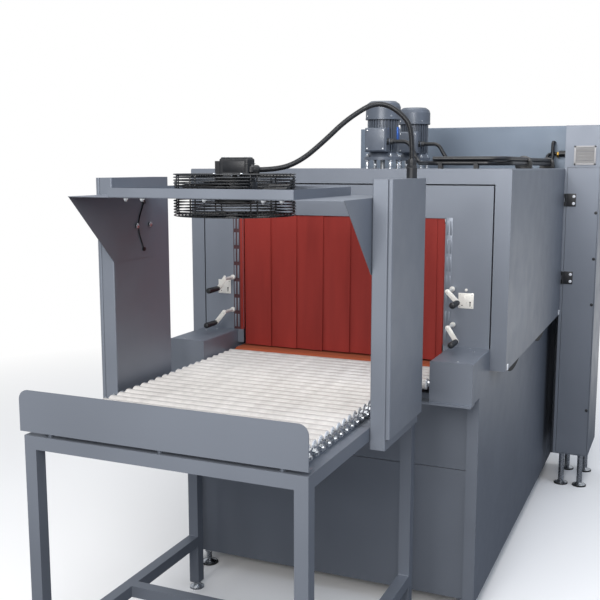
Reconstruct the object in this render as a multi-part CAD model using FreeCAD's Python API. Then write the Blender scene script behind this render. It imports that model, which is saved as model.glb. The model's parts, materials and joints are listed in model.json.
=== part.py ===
import FreeCAD, Part
import math
import os

V = FreeCAD.Vector

# Shrink tunnel with an outfeed roller table and a cooling fan, in millimetres.
# X runs across the line, Y from the outfeed end to the infeed end, Z up from the floor.
# While it is modelled, X = 0 is the middle of the hood and Y = 0 its outfeed face.

# Clearances
FIT = 0.3
SHEET = 3.0
THIN = 2.0

# Line height
BELT_TOP = 923.0

# Hood
HOOD_L = 1420.0
HOOD_TOP = 1643.0
HOOD_SKIRT = 909.0
WALL = 58.0
ROOF = 55.0
BEND = 6.0
REVEAL = 5.0
OPEN_DROP = 180.0
EDGE_STRIP = 28.0
PANEL_LIP = 26.0
STRIP_BOTTOM = 936.0
WINDOW_H = 17.0
WINDOW_PITCH = 61.0
WINDOW_FIRST = 1012.0
WINDOWS = 8

# Conveyor beams and belt
BELT_GAP = 16.0
BEAM_W = 150.0
BEAM_BOTTOM = 844.0
BEAM_TOP = 989.0
BEAM_SEAM = 924.0
BEAM_OVER = 282.0
DRUM_R = 30.0
DRUM_SHAFT_R = 10.0
DRUM_OVER = 35.0
BELT_T = 3.0
BELT_W = 860.0
GRIP_HOLE_R = 310.0
GRIP_HOLE_H = 30.0
GRIP_HOLES = (170.0, 805.0)

# Base cabinet
BASE_BOTTOM = 65.0
BASE_OVER = 163.0
POST = 40.0
RECESS = 36.0
BASE_SEAM = 560.0

# Rollers
ROLLER_D = 40.0
ROLLER_PITCH = 45.0
ROLLER_FIRST = -88.0
TRANSFER_ROLLERS = 5
TABLE_ROLLERS = 20
AXLE_R = 6.0
NUT_AF = 19.0
NUT_T = 10.0

# Roller table
TABLE_X = -44.5
TABLE_W = 895.0
TABLE_FRONT = -1250.0
TABLE_REAR = -300.0
TUBE = 40.0
TUBE_WALL = 2.5
LEG_BOTTOM = 30.0
PLUG_T = 4.0
PLUG_DEPTH = 20.0
ANGLE_T = 6.0
ANGLE_DROP = 50.0
ANGLE_REACH = 60.0
FRAME_TOP = 882.0
RAIL_T = 4.0
RAIL_INSET = 4.0
RAIL_RISE = 8.0
ROLLER_PLAY = 2.0
AXLE_STUB = 5.0
STRETCHER_Z = 180.0
STOP_LOW = 893.0
STOP_TOP = 1016.0
STOP_OVERHANG = 14.0
STOP_R = 30.0
STOP_T = 4.0
STOP_FOOT = 32.0
STOP_BOLT_IN = 80.0
BOLT_R = 4.2
SPACER_R = 8.0

# Cooling columns, canopy and fan
COLUMN_W = 62.0
COLUMN_FRONT = -785.0
COLUMN_REAR = -440.0
COLUMN_BOTTOM = 816.0
COLUMN_TOP = 1615.0
COVER_T = 14.0
COVER_BOTTOM = 852.0
CANOPY_FRONT = -1010.0
CANOPY_REAR = -560.0
CANOPY_TOP = 1562.0
WING_LOW = 1340.0
TRAY_W = 604.0
TRAY_FRONT = -1013.0
TRAY_REAR = -568.0
TRAY_LIP = 25.0
FAN_Y = -775.0
GUARD_D = 376.0
GUARD_LOW = 1503.0
GUARD_TOP = 1630.0
WIRE = 4.0
GUARD_WIRES = 12
FAN_D = 340.0
FAN_HUB_R = 62.0
FAN_BLADES = 7
FAN_BOX_W = 116.0
FAN_BOX_D = 48.0
FAN_BOX_TOP = 1676.0
FAN_BOX_RIBS = 7
FAN_RIB_PITCH = 6.0
FAN_RIB_T = 3.0
SPIGOT_L = 16.0
HOSE_D = 16.5

# Circulation fans
FAN_PLACES = (520.0, 993.0)
STAND_H = 37.0
FLANGE_R = 80.0
FLANGE_T = 34.0
MOTOR_R = 58.0
FIN_H = 9.0
FINS = 30
MOTOR_H = 138.0
COWL_R = 75.0
COWL_H = 76.0
TERMINAL_W = 95.0
TERMINAL_H = 100.0
TERMINAL_D = 46.0
WHEEL_R = 150.0
WHEEL_H = 62.0
WHEEL_BLADES = 10
SHAFT_R = 10.0
DUCT_OVER = 15.0
DUCT_GAP = 4.0
DUCT_SLOT_PITCH = 120.0
DUCT_SLOT_IN = 84.0
HEATER_R = 8.0
HEATER_RISES = (90.0, 180.0, 270.0)
HEATER_IN = 120.0
BRACKET_IN = 150.0
BRACKET_W = 80.0
BRACKET_H = 330.0

# Curtains
CURTAIN_STRIPS = 8
STRIP_OVERLAP = 6.0
STRIP_T = 3.0
CURTAIN_BOTTOM = 955.0
CURTAIN_SIDE = 4.0
CURTAIN_ROD_R = 6.0
CURTAIN_DROP = 7.0
CURTAIN_AXIS_Y = 14.0

# Damper levers: side, distance outside the belt's gap, pivot height, arm offsets across and up
LEVERS = {
    "lever_right_upper": (1, 4.0, 1204.0, 39.0, -38.0),
    "lever_right_lower": (1, 9.0, 1071.0, 32.0, -48.0),
    "lever_left_upper": (-1, 17.0, 1204.0, 27.0, -39.0),
    "lever_left_lower": (-1, 19.0, 1070.0, 38.0, -45.0),
}
LEVER_REACH = 75.0
LEVER_STEM_R = 6.0
COLLAR_R = 10.0
COLLAR_L = 10.0
ARM_W = 18.0
ARM_T = 5.0
SHUTTER_R = 42.0
SHUTTER_OFF = 26.0
SHUTTER_Y = 17.0
SHUTTER_T = 3.0
GRIP_R = 11.5
GRIP_L = 84.0

# Control cabinet and head box
CABINET_LAP = 3.0
CABINET_W = 173.0
CABINET_GAP = 2.0
CABINET_D = 375.0
CABINET_BOTTOM = 178.0
CABINET_TOP = 1870.0
DOOR_TOP = 1648.0
DOOR_DEPTH = 18.0
DOOR_MARGIN = 16.0
PIN_R = 3.0
KNUCKLE_R = 5.5
HINGE_H = 62.0
LEAF_W = 47.0
LEAF_T = 4.0
HINGES = (1097.0, 1487.0)
VENT_IN = 43.0
VENT_W = 103.0
VENT_RISE = 12.0
VENT_H = 93.0
VENT_RIM = 8.0
VENT_SLATS = 9
HEAD_OVER = 6.0
HEAD_BACK = 78.0
HEAD_D = 250.0
HEAD_LOW = 1600.0
HEAD_RISE = 8.0

# Wiring
CONDUIT_D = 17.0
CONDUIT_RISE = 22.0
CONDUIT_BEND = 45.0
CONDUIT_LEAD = 70.0
RUN_IN = 10.0
RUN_PITCH = 26.0
RUN_FRONT_Y = 240.0
ENTRY_FRONT = 108.0
ENTRY_REAR = 51.0
RISE_BACK = 52.0
WALL_BACK = 25.0
ENTRY_GLAND_R = 15.0
ENTRY_GLAND_L = 36.0
CLIP_PLACES = (332.0, 472.0)
CLIP_HALF = 14.0
CLIP_W = 16.0
SADDLE_W = 24.0
SADDLE_SIDE = 22.0
SADDLE_FIRST = 700.0
SADDLE_LAST = 50.0
CABLE_D = 4.0
CABLE_RUN = [(-604.0, 1531.0), (-650.0, 1451.0), (-611.0, 1369.0)]
CABLE_BUTTONS = [(-604.0, 1531.0), (-650.0, 1451.0), (-570.0, 1453.0), (-611.0, 1369.0)]
BUTTON_R = 7.0

BEAM_IN = BELT_W / 2 + BELT_GAP
BEAM_OUT = BEAM_IN + BEAM_W
INNER = BEAM_OUT
HALF = INNER + WALL
ROOF_LOW = HOOD_TOP - ROOF
OPEN_W = 2 * (BEAM_IN - EDGE_STRIP)
OPEN_TOP = HOOD_TOP - OPEN_DROP
DUCT_TOP = OPEN_TOP + DUCT_OVER
CURTAIN_AXIS_Z = OPEN_TOP - CURTAIN_DROP
MOTOR_TOP = HOOD_TOP + STAND_H + FLANGE_T + MOTOR_H
COWL_TOP = MOTOR_TOP + COWL_H
CABINET_X = HALF - CABINET_LAP
CABINET_Y = HOOD_L + CABINET_GAP
VENT_X = CABINET_X + VENT_IN
VENT_LOW = DOOR_TOP + VENT_RISE
HEAD_LEFT = -BEAM_IN - HEAD_OVER
HEAD_Y = CABINET_Y + HEAD_BACK
HEAD_TOP = CABINET_TOP + HEAD_RISE
RUN_FRONT_X = INNER - RUN_IN
RUN_REAR_X = RUN_FRONT_X - RUN_PITCH
SADDLES = (SADDLE_FIRST, HOOD_L - SADDLE_LAST)
AXLE_Z = BELT_TOP - ROLLER_D / 2
DRUM_Z = BELT_TOP - BELT_T - FIT - DRUM_R
TABLE_LEFT = TABLE_X - TABLE_W / 2
TABLE_RIGHT = TABLE_X + TABLE_W / 2
RAIL_SEAT = TABLE_W / 2 - TUBE - RAIL_INSET
CONDUIT_Z = HOOD_TOP + CONDUIT_RISE
GLAND_Z = HOOD_TOP + STAND_H + FLANGE_T + 42.0
TRAY_BASE = CANOPY_TOP + THIN
FAN_HOLE_R = GUARD_D / 2 + 4.0

# The cooling fan's hose, from the fan's terminal box to the gland on the column
HOSE_POINTS = [
    (21, -773, 1642),
    (80, -736, 1641),
    (140, -694, 1668),
    (199, -655, 1726),
    (262, -613, 1797),
    (345, -558, 1855),
    (421, -508, 1800),
    (434, -499, 1735),
    (434, -499, 1660),
]


def box(x0, x1, y0, y1, z0, z1):
    return Part.makeBox(x1 - x0, y1 - y0, z1 - z0, V(x0, y0, z0))


def rod(x, y, z, r, length, axis=(0, 0, 1)):
    return Part.makeCylinder(r, length, V(x, y, z), V(*axis))


def fuse(solids):
    joined = solids[0].multiFuse(solids[1:]) if len(solids) > 1 else solids[0]
    return joined.removeSplitter()


def round_edges(solid, radius, pick):
    edges = [e for e in solid.Edges if pick(e)]
    return solid.makeFillet(radius, edges) if edges else solid


def along(axis):
    def test(edge):
        d = edge.Vertexes[-1].Point - edge.Vertexes[0].Point
        spans = (abs(d.x), abs(d.y), abs(d.z))
        return spans[axis] > 0.999 * sum(spans) and spans[axis] > 1.0
    return test


def case(x0, x1, y0, y1, z0, z1, wall, radius=0.0, axis=2):
    """Closed sheet-metal box, bent round its edges along one axis."""
    outer = box(x0, x1, y0, y1, z0, z1)
    if radius:
        outer = round_edges(outer, radius, along(axis))
    return outer.cut(box(x0 + wall, x1 - wall, y0 + wall, y1 - wall, z0 + wall, z1 - wall))


def plate(points, axis, start, thickness):
    """Flat plate from an outline; axis 0 takes (y, z), axis 1 takes (x, z), axis 2 takes (x, y)."""
    def place(p):
        a, b = p
        return (V(start, a, b), V(a, start, b), V(a, b, start))[axis]
    wire = Part.makePolygon([place(p) for p in points] + [place(points[0])])
    push = [0, 0, 0]
    push[axis] = thickness
    return Part.Face(wire).extrude(V(*push))


def prism(sides, across, x, y, z, length, axis):
    """Regular prism, such as a nut, along X (axis 0) or Z (axis 2)."""
    r = across / 2 / math.cos(math.pi / sides)
    turns = [2 * math.pi * (k + 0.5) / sides for k in range(sides)]
    if axis == 0:
        ring = [V(x, y + r * math.cos(t), z + r * math.sin(t)) for t in turns]
        push = V(length, 0, 0)
    else:
        ring = [V(x + r * math.cos(t), y + r * math.sin(t), z) for t in turns]
        push = V(0, 0, length)
    return Part.Face(Part.makePolygon(ring + [ring[0]])).extrude(push)


def lathe(points, x, y):
    """Turned part about a vertical axis through (x, y), from (radius, z) points."""
    ring = [V(x + r, y, z) for r, z in points]
    face = Part.Face(Part.makePolygon(ring + [ring[0]]))
    return face.revolve(V(x, y, 0), V(0, 0, 1), 360)


def bent_tube(points, diameter, radius=None, label=""):
    """Tube along straight runs with tangent arcs, each as large as its runs allow or of one radius."""
    pts = [V(*p) for p in points]
    edges = []
    radii = []
    start = pts[0]
    for before, corner, after in zip(pts, pts[1:], pts[2:]):
        a = before - corner
        b = after - corner
        run = min(a.Length, b.Length)
        a.normalize()
        b.normalize()
        turn = math.pi - a.getAngle(b)
        set_back = 0.45 * run
        if radius:
            set_back = min(set_back, radius * math.tan(turn / 2))
        radii.append(set_back / math.tan(turn / 2))
        p1 = corner + a * set_back
        p3 = corner + b * set_back
        middle = a + b
        middle.normalize()
        r = radii[-1]
        p2 = corner + middle * (r / math.cos(turn / 2) - r)
        edges.append(Part.LineSegment(start, p1).toShape())
        edges.append(Part.Arc(p1, p2, p3).toShape())
        start = p3
    edges.append(Part.LineSegment(start, pts[-1]).toShape())
    path = Part.Wire(edges)
    direction = pts[1] - pts[0]
    ring = Part.Wire(Part.Circle(pts[0], direction, diameter / 2).toShape())
    tube = path.makePipeShell([ring], True, True)
    expected = math.pi * diameter ** 2 / 4 * path.Length
    print(label, "length", round(path.Length), "volume ratio", round(tube.Volume / expected, 4),
          "radii", [round(r) for r in radii])
    return tube


# Roller table

def table_frame():
    """Square tubes, and the angle bar that joins the rear legs to the conveyor beams."""
    left, right = TABLE_LEFT, TABLE_RIGHT
    front, rear = TABLE_FRONT, TABLE_REAR

    def tube(x0, x1, y0, y1, z0, z1, axis):
        outer = box(x0, x1, y0, y1, z0, z1)
        w = TUBE_WALL
        lo = [x0 + w, y0 + w, z0 + w]
        hi = [x1 - w, y1 - w, z1 - w]
        lo[axis] -= w
        hi[axis] += w
        return outer.cut(box(lo[0], hi[0], lo[1], hi[1], lo[2], hi[2]))

    parts = []
    for x0, x1 in ((left, left + TUBE), (right - TUBE, right)):
        leg = tube(x0, x1, front, front + TUBE, LEG_BOTTOM, FRAME_TOP, 2)
        cap = box(x0, x1, front, front + TUBE, FRAME_TOP - TUBE_WALL, FRAME_TOP)
        parts.append(fuse([leg, cap]))
        parts.append(tube(x0, x1, rear - TUBE, rear, LEG_BOTTOM, FRAME_TOP - TUBE, 2))
        parts.append(tube(x0, x1, front + TUBE, rear, FRAME_TOP - TUBE, FRAME_TOP, 1))
        parts.append(tube(x0, x1, front + TUBE, rear - TUBE, STRETCHER_Z, STRETCHER_Z + TUBE, 1))
    parts.append(tube(left + TUBE, right - TUBE, front, front + TUBE, FRAME_TOP - TUBE, FRAME_TOP, 0))
    parts.append(tube(left + TUBE + RAIL_T, right - TUBE - RAIL_T, rear - TUBE, rear,
                      FRAME_TOP - TUBE, FRAME_TOP, 0))
    middle = (front + rear) / 2
    parts.append(tube(left + TUBE, right - TUBE, middle - TUBE / 2, middle + TUBE / 2,
                      STRETCHER_Z, STRETCHER_Z + TUBE, 0))
    shelf = box(-BEAM_OUT, BEAM_OUT, rear, rear + ANGLE_REACH, BEAM_BOTTOM - ANGLE_T, BEAM_BOTTOM)
    drop = box(left, right, rear, rear + ANGLE_T, BEAM_BOTTOM - ANGLE_DROP, BEAM_BOTTOM)
    parts.append(fuse([shelf, drop]))
    return parts


def roller_places():
    count = TRANSFER_ROLLERS + TABLE_ROLLERS
    return [ROLLER_FIRST - k * ROLLER_PITCH for k in range(count)]


def roller_rails():
    """Two upright bars with open-topped slots that the axles drop into."""
    rails = []
    places = roller_places()[TRANSFER_ROLLERS:]
    y0 = TABLE_FRONT + TUBE + 4
    y1 = TABLE_REAR
    low = FRAME_TOP - TUBE
    for side in (-1, 1):
        inner = TABLE_X + side * RAIL_SEAT
        x0 = min(inner, inner + side * RAIL_T)
        bar = box(x0, x0 + RAIL_T, y0, y1, low, AXLE_Z + RAIL_RISE)
        slots = []
        for y in places:
            slots.append(rod(x0 - 1, y, AXLE_Z, AXLE_R, RAIL_T + 2, (1, 0, 0)))
            slots.append(box(x0 - 1, x0 + RAIL_T + 1, y - AXLE_R, y + AXLE_R,
                             AXLE_Z, AXLE_Z + RAIL_RISE + 1))
        rails.append(bar.cut(slots))
    return rails


def rollers():
    """Free rollers: plain tubes on fixed axles."""
    made = {}
    table_half = RAIL_SEAT - NUT_T - ROLLER_PLAY
    beam_half = BEAM_IN - NUT_T - ROLLER_PLAY
    for k, y in enumerate(roller_places()):
        if k < TRANSFER_ROLLERS:
            name, middle, half = "transfer_roller_%d" % (k + 1), 0.0, beam_half
        else:
            name = "table_roller_%02d" % (k - TRANSFER_ROLLERS + 1)
            middle, half = TABLE_X, table_half
        tube = rod(middle - half, y, AXLE_Z, ROLLER_D / 2, 2 * half, (1, 0, 0))
        made[name] = [tube.cut(rod(middle - half, y, AXLE_Z, AXLE_R + FIT, 2 * half, (1, 0, 0)))]
    return made


def roller_axles():
    """Fixed threaded axles with a nut on each side of each rail."""
    axles = []
    for k, y in enumerate(roller_places()):
        if k < TRANSFER_ROLLERS:
            middle, seat = 0.0, BEAM_IN
            reach = seat + SHEET + AXLE_STUB
        else:
            middle, seat = TABLE_X, RAIL_SEAT
            reach = seat + RAIL_T + NUT_T + AXLE_STUB
        parts = [rod(middle - reach, y, AXLE_Z, AXLE_R, 2 * reach, (1, 0, 0))]
        for side in (-1, 1):
            inside = middle + side * seat
            parts.append(prism(6, NUT_AF, inside, y, AXLE_Z, -side * NUT_T, 0))
            if k >= TRANSFER_ROLLERS:
                outside = inside + side * RAIL_T
                parts.append(prism(6, NUT_AF, outside, y, AXLE_Z, side * NUT_T, 0))
        axles.append(fuse(parts))
    return axles


def end_stop_plate():
    """Angled sheet on three spacers over the front cross tube."""
    left = TABLE_LEFT - STOP_OVERHANG
    right = TABLE_RIGHT
    sheet = box(left, right, TABLE_FRONT, TABLE_FRONT + STOP_T, STOP_LOW, STOP_TOP)
    sheet = round_edges(sheet, STOP_R,
                        lambda e: along(1)(e) and e.CenterOfMass.z > STOP_TOP - 1)
    flange = box(TABLE_LEFT, right, TABLE_FRONT, TABLE_FRONT + STOP_FOOT, STOP_LOW, STOP_LOW + SHEET)
    y = TABLE_FRONT + TUBE / 2
    places = (TABLE_LEFT + STOP_BOLT_IN, TABLE_X, right - STOP_BOLT_IN)
    bolts = [rod(x, y, FRAME_TOP - 1, BOLT_R, STOP_LOW - FRAME_TOP + SHEET + 2) for x in places]
    spacers = [rod(x, y, FRAME_TOP, SPACER_R, STOP_LOW - FRAME_TOP).cut(bolts) for x in places]
    return [fuse([sheet, flange]).cut(bolts)] + spacers


def foot(x, y, top, pad_r=28.0, stem_r=8.0):
    return lathe([(0, 0), (pad_r, 0), (pad_r, 6), (stem_r + 6, 14), (stem_r, 18),
                  (stem_r, top), (0, top)], x, y)


def levelling_feet():
    """Screw feet: the table's sit in plugs that close its tube legs."""
    feet = []
    half = TUBE / 2
    bore = half - TUBE_WALL
    for x in (TABLE_LEFT + half, TABLE_RIGHT - half):
        for y in (TABLE_FRONT + half, TABLE_REAR - half):
            collar = box(x - half, x + half, y - half, y + half, LEG_BOTTOM - PLUG_T, LEG_BOTTOM)
            plug = box(x - bore, x + bore, y - bore, y + bore, LEG_BOTTOM, LEG_BOTTOM + PLUG_DEPTH)
            feet.append(fuse([foot(x, y, LEG_BOTTOM), collar, plug]))
    for x in (-BEAM_OUT + 60, BEAM_OUT - 60):
        for y in (60 - BASE_OVER, HOOD_L + BASE_OVER - 60):
            feet.append(foot(x, y, BASE_BOTTOM, 34, 10))
    for x in (CABINET_X + 40, CABINET_X + CABINET_W - 40):
        for y in (CABINET_Y + 60, CABINET_Y + CABINET_D - 60):
            feet.append(foot(x, y, CABINET_BOTTOM, 34, 14))
    return feet


# Cooling station

def cooling_columns():
    """Two hollow columns, each with a lipped cover on its outer side, and the hose gland."""
    parts = []
    for side, face in ((1, TABLE_RIGHT), (-1, TABLE_LEFT)):
        far = face + side * (COLUMN_W - COVER_T)
        x0, x1 = min(face, far), max(face, far)
        parts.append(case(x0, x1, COLUMN_FRONT, COLUMN_REAR, COLUMN_BOTTOM, COLUMN_TOP, THIN, 4.0))
        edge = far + side * COVER_T
        x0, x1 = min(far, edge), max(far, edge)
        cover = case(x0, x1, COLUMN_FRONT, COLUMN_REAR, COVER_BOTTOM, COLUMN_TOP, THIN, 4.0)
        parts.append(cover)
    gx, gy, gz = HOSE_POINTS[-1]
    parts.append(lathe([(0, COLUMN_TOP), (16, COLUMN_TOP), (16, COLUMN_TOP + 14),
                        (13, COLUMN_TOP + 16), (13, gz), (0, gz)], gx, gy))
    return parts


def canopy():
    top = box(TABLE_LEFT, TABLE_RIGHT, CANOPY_FRONT, CANOPY_REAR, CANOPY_TOP - THIN, CANOPY_TOP)
    wing = [(CANOPY_FRONT, CANOPY_TOP), (COLUMN_FRONT, WING_LOW),
            (CANOPY_REAR, WING_LOW), (CANOPY_REAR, CANOPY_TOP)]
    left = plate(wing, 0, TABLE_LEFT, THIN)
    right = plate(wing, 0, TABLE_RIGHT - THIN, THIN)
    sheet = fuse([top, left, right])
    return [sheet.cut(rod(TABLE_X, FAN_Y, CANOPY_TOP - 5, FAN_HOLE_R, 10))]


def fan_tray():
    x0, x1 = TABLE_X - TRAY_W / 2, TABLE_X + TRAY_W / 2
    top = CANOPY_TOP + TRAY_LIP + THIN
    tray = box(x0, x1, TRAY_FRONT, TRAY_REAR, CANOPY_TOP, top)
    tray = tray.cut(box(x0 + THIN, x1 - THIN, TRAY_FRONT + THIN, TRAY_REAR - THIN, TRAY_BASE, top))
    return [tray.cut(rod(TABLE_X, FAN_Y, CANOPY_TOP - 1, FAN_HOLE_R, 10))]


def ring(radius, z):
    """Guard ring of square wire."""
    half = WIRE / 2
    return lathe([(radius - half, z - half), (radius + half, z - half),
                  (radius + half, z + half), (radius - half, z + half)], TABLE_X, FAN_Y)


def fan_guard():
    """Wire cage: side rings, face rings, bent radial wires, motor plate and four feet."""
    r = GUARD_D / 2 - WIRE / 2
    low, high = GUARD_LOW + WIRE / 2, GUARD_TOP - WIRE / 2
    half = WIRE / 2
    rings = [ring(r, z) for z in (low, low + 27, high - 27, high)]
    rings += [ring(face_r, z) for face_r in (95.0, 140.0) for z in (low, high)]
    outline = [(20, low - half), (r + half, low - half), (r + half, high + half), (20, high + half),
               (20, high - half), (r - half, high - half), (r - half, low + half), (20, low + half)]
    wire = plate([(TABLE_X + a, b) for a, b in outline], 1, FAN_Y - half, WIRE)
    wires = []
    for k in range(GUARD_WIRES):
        copy = wire.copy()
        copy.rotate(V(TABLE_X, FAN_Y, 0), V(0, 0, 1), 360.0 * (k + 0.5) / GUARD_WIRES)
        wires.append(copy)
    hub = lathe([(12, high - half), (72, high - half), (72, high + half), (12, high + half)],
                TABLE_X, FAN_Y)
    cap = rod(TABLE_X, FAN_Y, low - half, 30, WIRE)
    feet = []
    for k in range(4):
        tab = box(TABLE_X + r - 3, TABLE_X + FAN_HOLE_R + 14, FAN_Y - 9, FAN_Y + 9,
                  TRAY_BASE, TRAY_BASE + THIN)
        post = box(TABLE_X + r - 3, TABLE_X + r + half, FAN_Y - 9, FAN_Y + 9,
                   TRAY_BASE, high - 26)
        lug = tab.fuse(post)
        lug.rotate(V(TABLE_X, FAN_Y, 0), V(0, 0, 1), 45 + 90 * k)
        feet.append(lug)
    return [fuse(rings + wires + [hub, cap] + feet)]


def fan_rotor():
    """Axial fan: motor bell, spindle and swept, twisted blades."""
    low, high = GUARD_LOW + 34, GUARD_TOP - 12
    hub = lathe([(0, low), (FAN_HUB_R - 8, low), (FAN_HUB_R, low + 8), (FAN_HUB_R, high),
                 (8, high), (8, GUARD_TOP + 12), (0, GUARD_TOP + 12)], TABLE_X, FAN_Y)
    middle = (low + high) / 2

    def section(radius, chord, pitch, sweep):
        c, s = math.cos(math.radians(pitch)), math.sin(math.radians(pitch))
        reach = math.sqrt(radius ** 2 - (sweep + chord / 2 * c) ** 2)
        pts = []
        for a, b in ((-0.5, -1.2), (0.5, -1.2), (0.5, 1.2), (-0.5, 1.2)):
            u = a * chord
            pts.append(V(TABLE_X + reach, FAN_Y + sweep + u * c - b * s, middle + u * s + b * c))
        return Part.makePolygon(pts + [pts[0]])

    blade = Part.makeLoft([section(FAN_HUB_R - 4, 62, 42, 0), section(115, 84, 32, 10),
                           section(FAN_D / 2, 96, 24, 26)], True, False)
    blades = []
    for k in range(FAN_BLADES):
        copy = blade.copy()
        copy.rotate(V(TABLE_X, FAN_Y, 0), V(0, 0, 1), 360.0 * k / FAN_BLADES)
        blades.append(copy)
    return [fuse([hub] + blades)]


def fan_motor_box():
    """Terminal box on the guard's motor plate, with cooling ribs and the hose's spigot."""
    right = HOSE_POINTS[0][0] - 8
    left = right - FAN_BOX_W
    y0, y1 = FAN_Y - FAN_BOX_D / 2, FAN_Y + FAN_BOX_D / 2
    body = box(left + SPIGOT_L, right, y0, y1, GUARD_TOP, FAN_BOX_TOP)
    body = round_edges(body, 6, lambda e: e.CenterOfMass.z > FAN_BOX_TOP - 1 or along(2)(e))
    start = FAN_Y - (FAN_BOX_RIBS - 1) * FAN_RIB_PITCH / 2 - FAN_RIB_T / 2
    ribs = [box(left, left + SPIGOT_L + 4, start + k * FAN_RIB_PITCH,
                start + k * FAN_RIB_PITCH + FAN_RIB_T, GUARD_TOP, FAN_BOX_TOP - 8)
            for k in range(FAN_BOX_RIBS)]
    exit_point = V(*HOSE_POINTS[0])
    heading = V(*HOSE_POINTS[1]) - exit_point
    heading.normalize()
    root = exit_point - heading * SPIGOT_L
    spigot = rod(root.x, root.y, root.z, HOSE_D / 2 + 3, SPIGOT_L, (heading.x, heading.y, heading.z))
    bore = rod(TABLE_X, FAN_Y, GUARD_TOP - 1, 8 + FIT, 16)
    return [fuse([body, spigot] + ribs).cut(bore)]


def fan_hose():
    return [bent_tube(HOSE_POINTS, HOSE_D, None, "fan hose")]


# Base and conveyor

def base_cabinet():
    """Corner posts, sills and cross rails, with sheet panels on them and a deck."""
    out = BEAM_OUT - THIN
    y0, y1 = -BASE_OVER, HOOD_L + BASE_OVER
    z0, z1 = BASE_BOTTOM, BEAM_BOTTOM - THIN
    posts = []
    for x0 in (-out, out - POST):
        for y in (y0, y1 - POST):
            posts.append(box(x0, x0 + POST, y, y + POST, z0, z1))
    sills = []
    for z in (z0, z1 - POST):
        for x0 in (-out, out - POST):
            sills.append(box(x0, x0 + POST, y0 + POST, y1 - POST, z, z + POST))
        for y in (y0 + RECESS, y1 - RECESS - POST):
            sills.append(box(POST - out, out - POST, y, y + POST, z, z + POST))
    inner = out - POST
    panels = []
    for y in (y0 + RECESS - THIN, y1 - RECESS):
        panels.append(box(-inner, inner, y, y + THIN, z0, BASE_SEAM - 1))
        panels.append(box(-inner, inner, y, y + THIN, BASE_SEAM + 1, z1))
    for x in (-BEAM_OUT, out):
        panels.append(box(x, x + THIN, y0, y1, z0, z1))
    deck = box(-BEAM_OUT, BEAM_OUT, y0, y1, z1, BEAM_BOTTOM)
    return posts + sills + [deck] + panels


def grip_hole(x, y):
    """Lens-shaped hand hold under the hood's lower edge."""
    drop = HOOD_SKIRT - GRIP_HOLE_H
    disc = rod(x - 10, y, drop + GRIP_HOLE_R, GRIP_HOLE_R, 20, (1, 0, 0))
    return disc.common(box(x - 10, x + 10, y - GRIP_HOLE_R, y + GRIP_HOLE_R, drop, HOOD_SKIRT))


def conveyor_frame():
    """Each side beam is a folded channel with a folded cover; the belt's bed lies between them."""
    y0, y1 = -BEAM_OVER, HOOD_L + BEAM_OVER
    parts = []
    for side in (-1, 1):
        x0 = min(side * BEAM_IN, side * BEAM_OUT)
        x1 = x0 + BEAM_W
        w = SHEET
        channel = box(x0, x1, y0, y1, BEAM_BOTTOM, BEAM_SEAM)
        channel = channel.cut(box(x0 + w, x1 - w, y0 + w, y1 - w, BEAM_BOTTOM + w, BEAM_SEAM))
        cover = round_edges(box(x0, x1, y0, y1, BEAM_SEAM, BEAM_TOP), 5,
                            lambda e: along(1)(e) and e.CenterOfMass.z > BEAM_TOP - 1)
        cover = cover.cut(box(x0 + w, x1 - w, y0 + w, y1 - w, BEAM_SEAM, BEAM_TOP - w))
        inner_wall = side * (BEAM_IN + w / 2)
        holes = [rod(inner_wall - 4, y, AXLE_Z, AXLE_R, 8, (1, 0, 0))
                 for y in roller_places()[:TRANSFER_ROLLERS]]
        holes += [rod(inner_wall - 4, y, DRUM_Z, DRUM_SHAFT_R + FIT, 8, (1, 0, 0))
                  for y in (-DRUM_OVER, HOOD_L + DRUM_OVER)]
        holes += [grip_hole(side * BEAM_OUT, y) for y in GRIP_HOLES]
        parts += [channel.cut(holes), cover]
    bed_top = BELT_TOP - BELT_T - FIT
    parts.append(box(-BEAM_IN, BEAM_IN, DRUM_R + 8 - DRUM_OVER, HOOD_L + DRUM_OVER - DRUM_R - 8,
                     bed_top - SHEET, bed_top))
    return parts


def conveyor_belt():
    """Endless belt round both drums."""
    def loop(r):
        y0, y1 = -DRUM_OVER, HOOD_L + DRUM_OVER
        edges = [
            Part.LineSegment(V(-BELT_W / 2, y0, DRUM_Z + r), V(-BELT_W / 2, y1, DRUM_Z + r)).toShape(),
            Part.Arc(V(-BELT_W / 2, y1, DRUM_Z + r), V(-BELT_W / 2, y1 + r, DRUM_Z),
                     V(-BELT_W / 2, y1, DRUM_Z - r)).toShape(),
            Part.LineSegment(V(-BELT_W / 2, y1, DRUM_Z - r), V(-BELT_W / 2, y0, DRUM_Z - r)).toShape(),
            Part.Arc(V(-BELT_W / 2, y0, DRUM_Z - r), V(-BELT_W / 2, y0 - r, DRUM_Z),
                     V(-BELT_W / 2, y0, DRUM_Z + r)).toShape(),
        ]
        return Part.Face(Part.Wire(edges)).extrude(V(BELT_W, 0, 0))
    inner = DRUM_R + FIT
    return [loop(inner + BELT_T).cut(loop(inner))]


def drum(y, reach):
    shell = rod(-BELT_W / 2, y, DRUM_Z, DRUM_R, BELT_W, (1, 0, 0))
    shaft = rod(-BEAM_IN - 20, y, DRUM_Z, DRUM_SHAFT_R, BEAM_IN + 20 + reach, (1, 0, 0))
    return [fuse([shell, shaft])]


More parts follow.
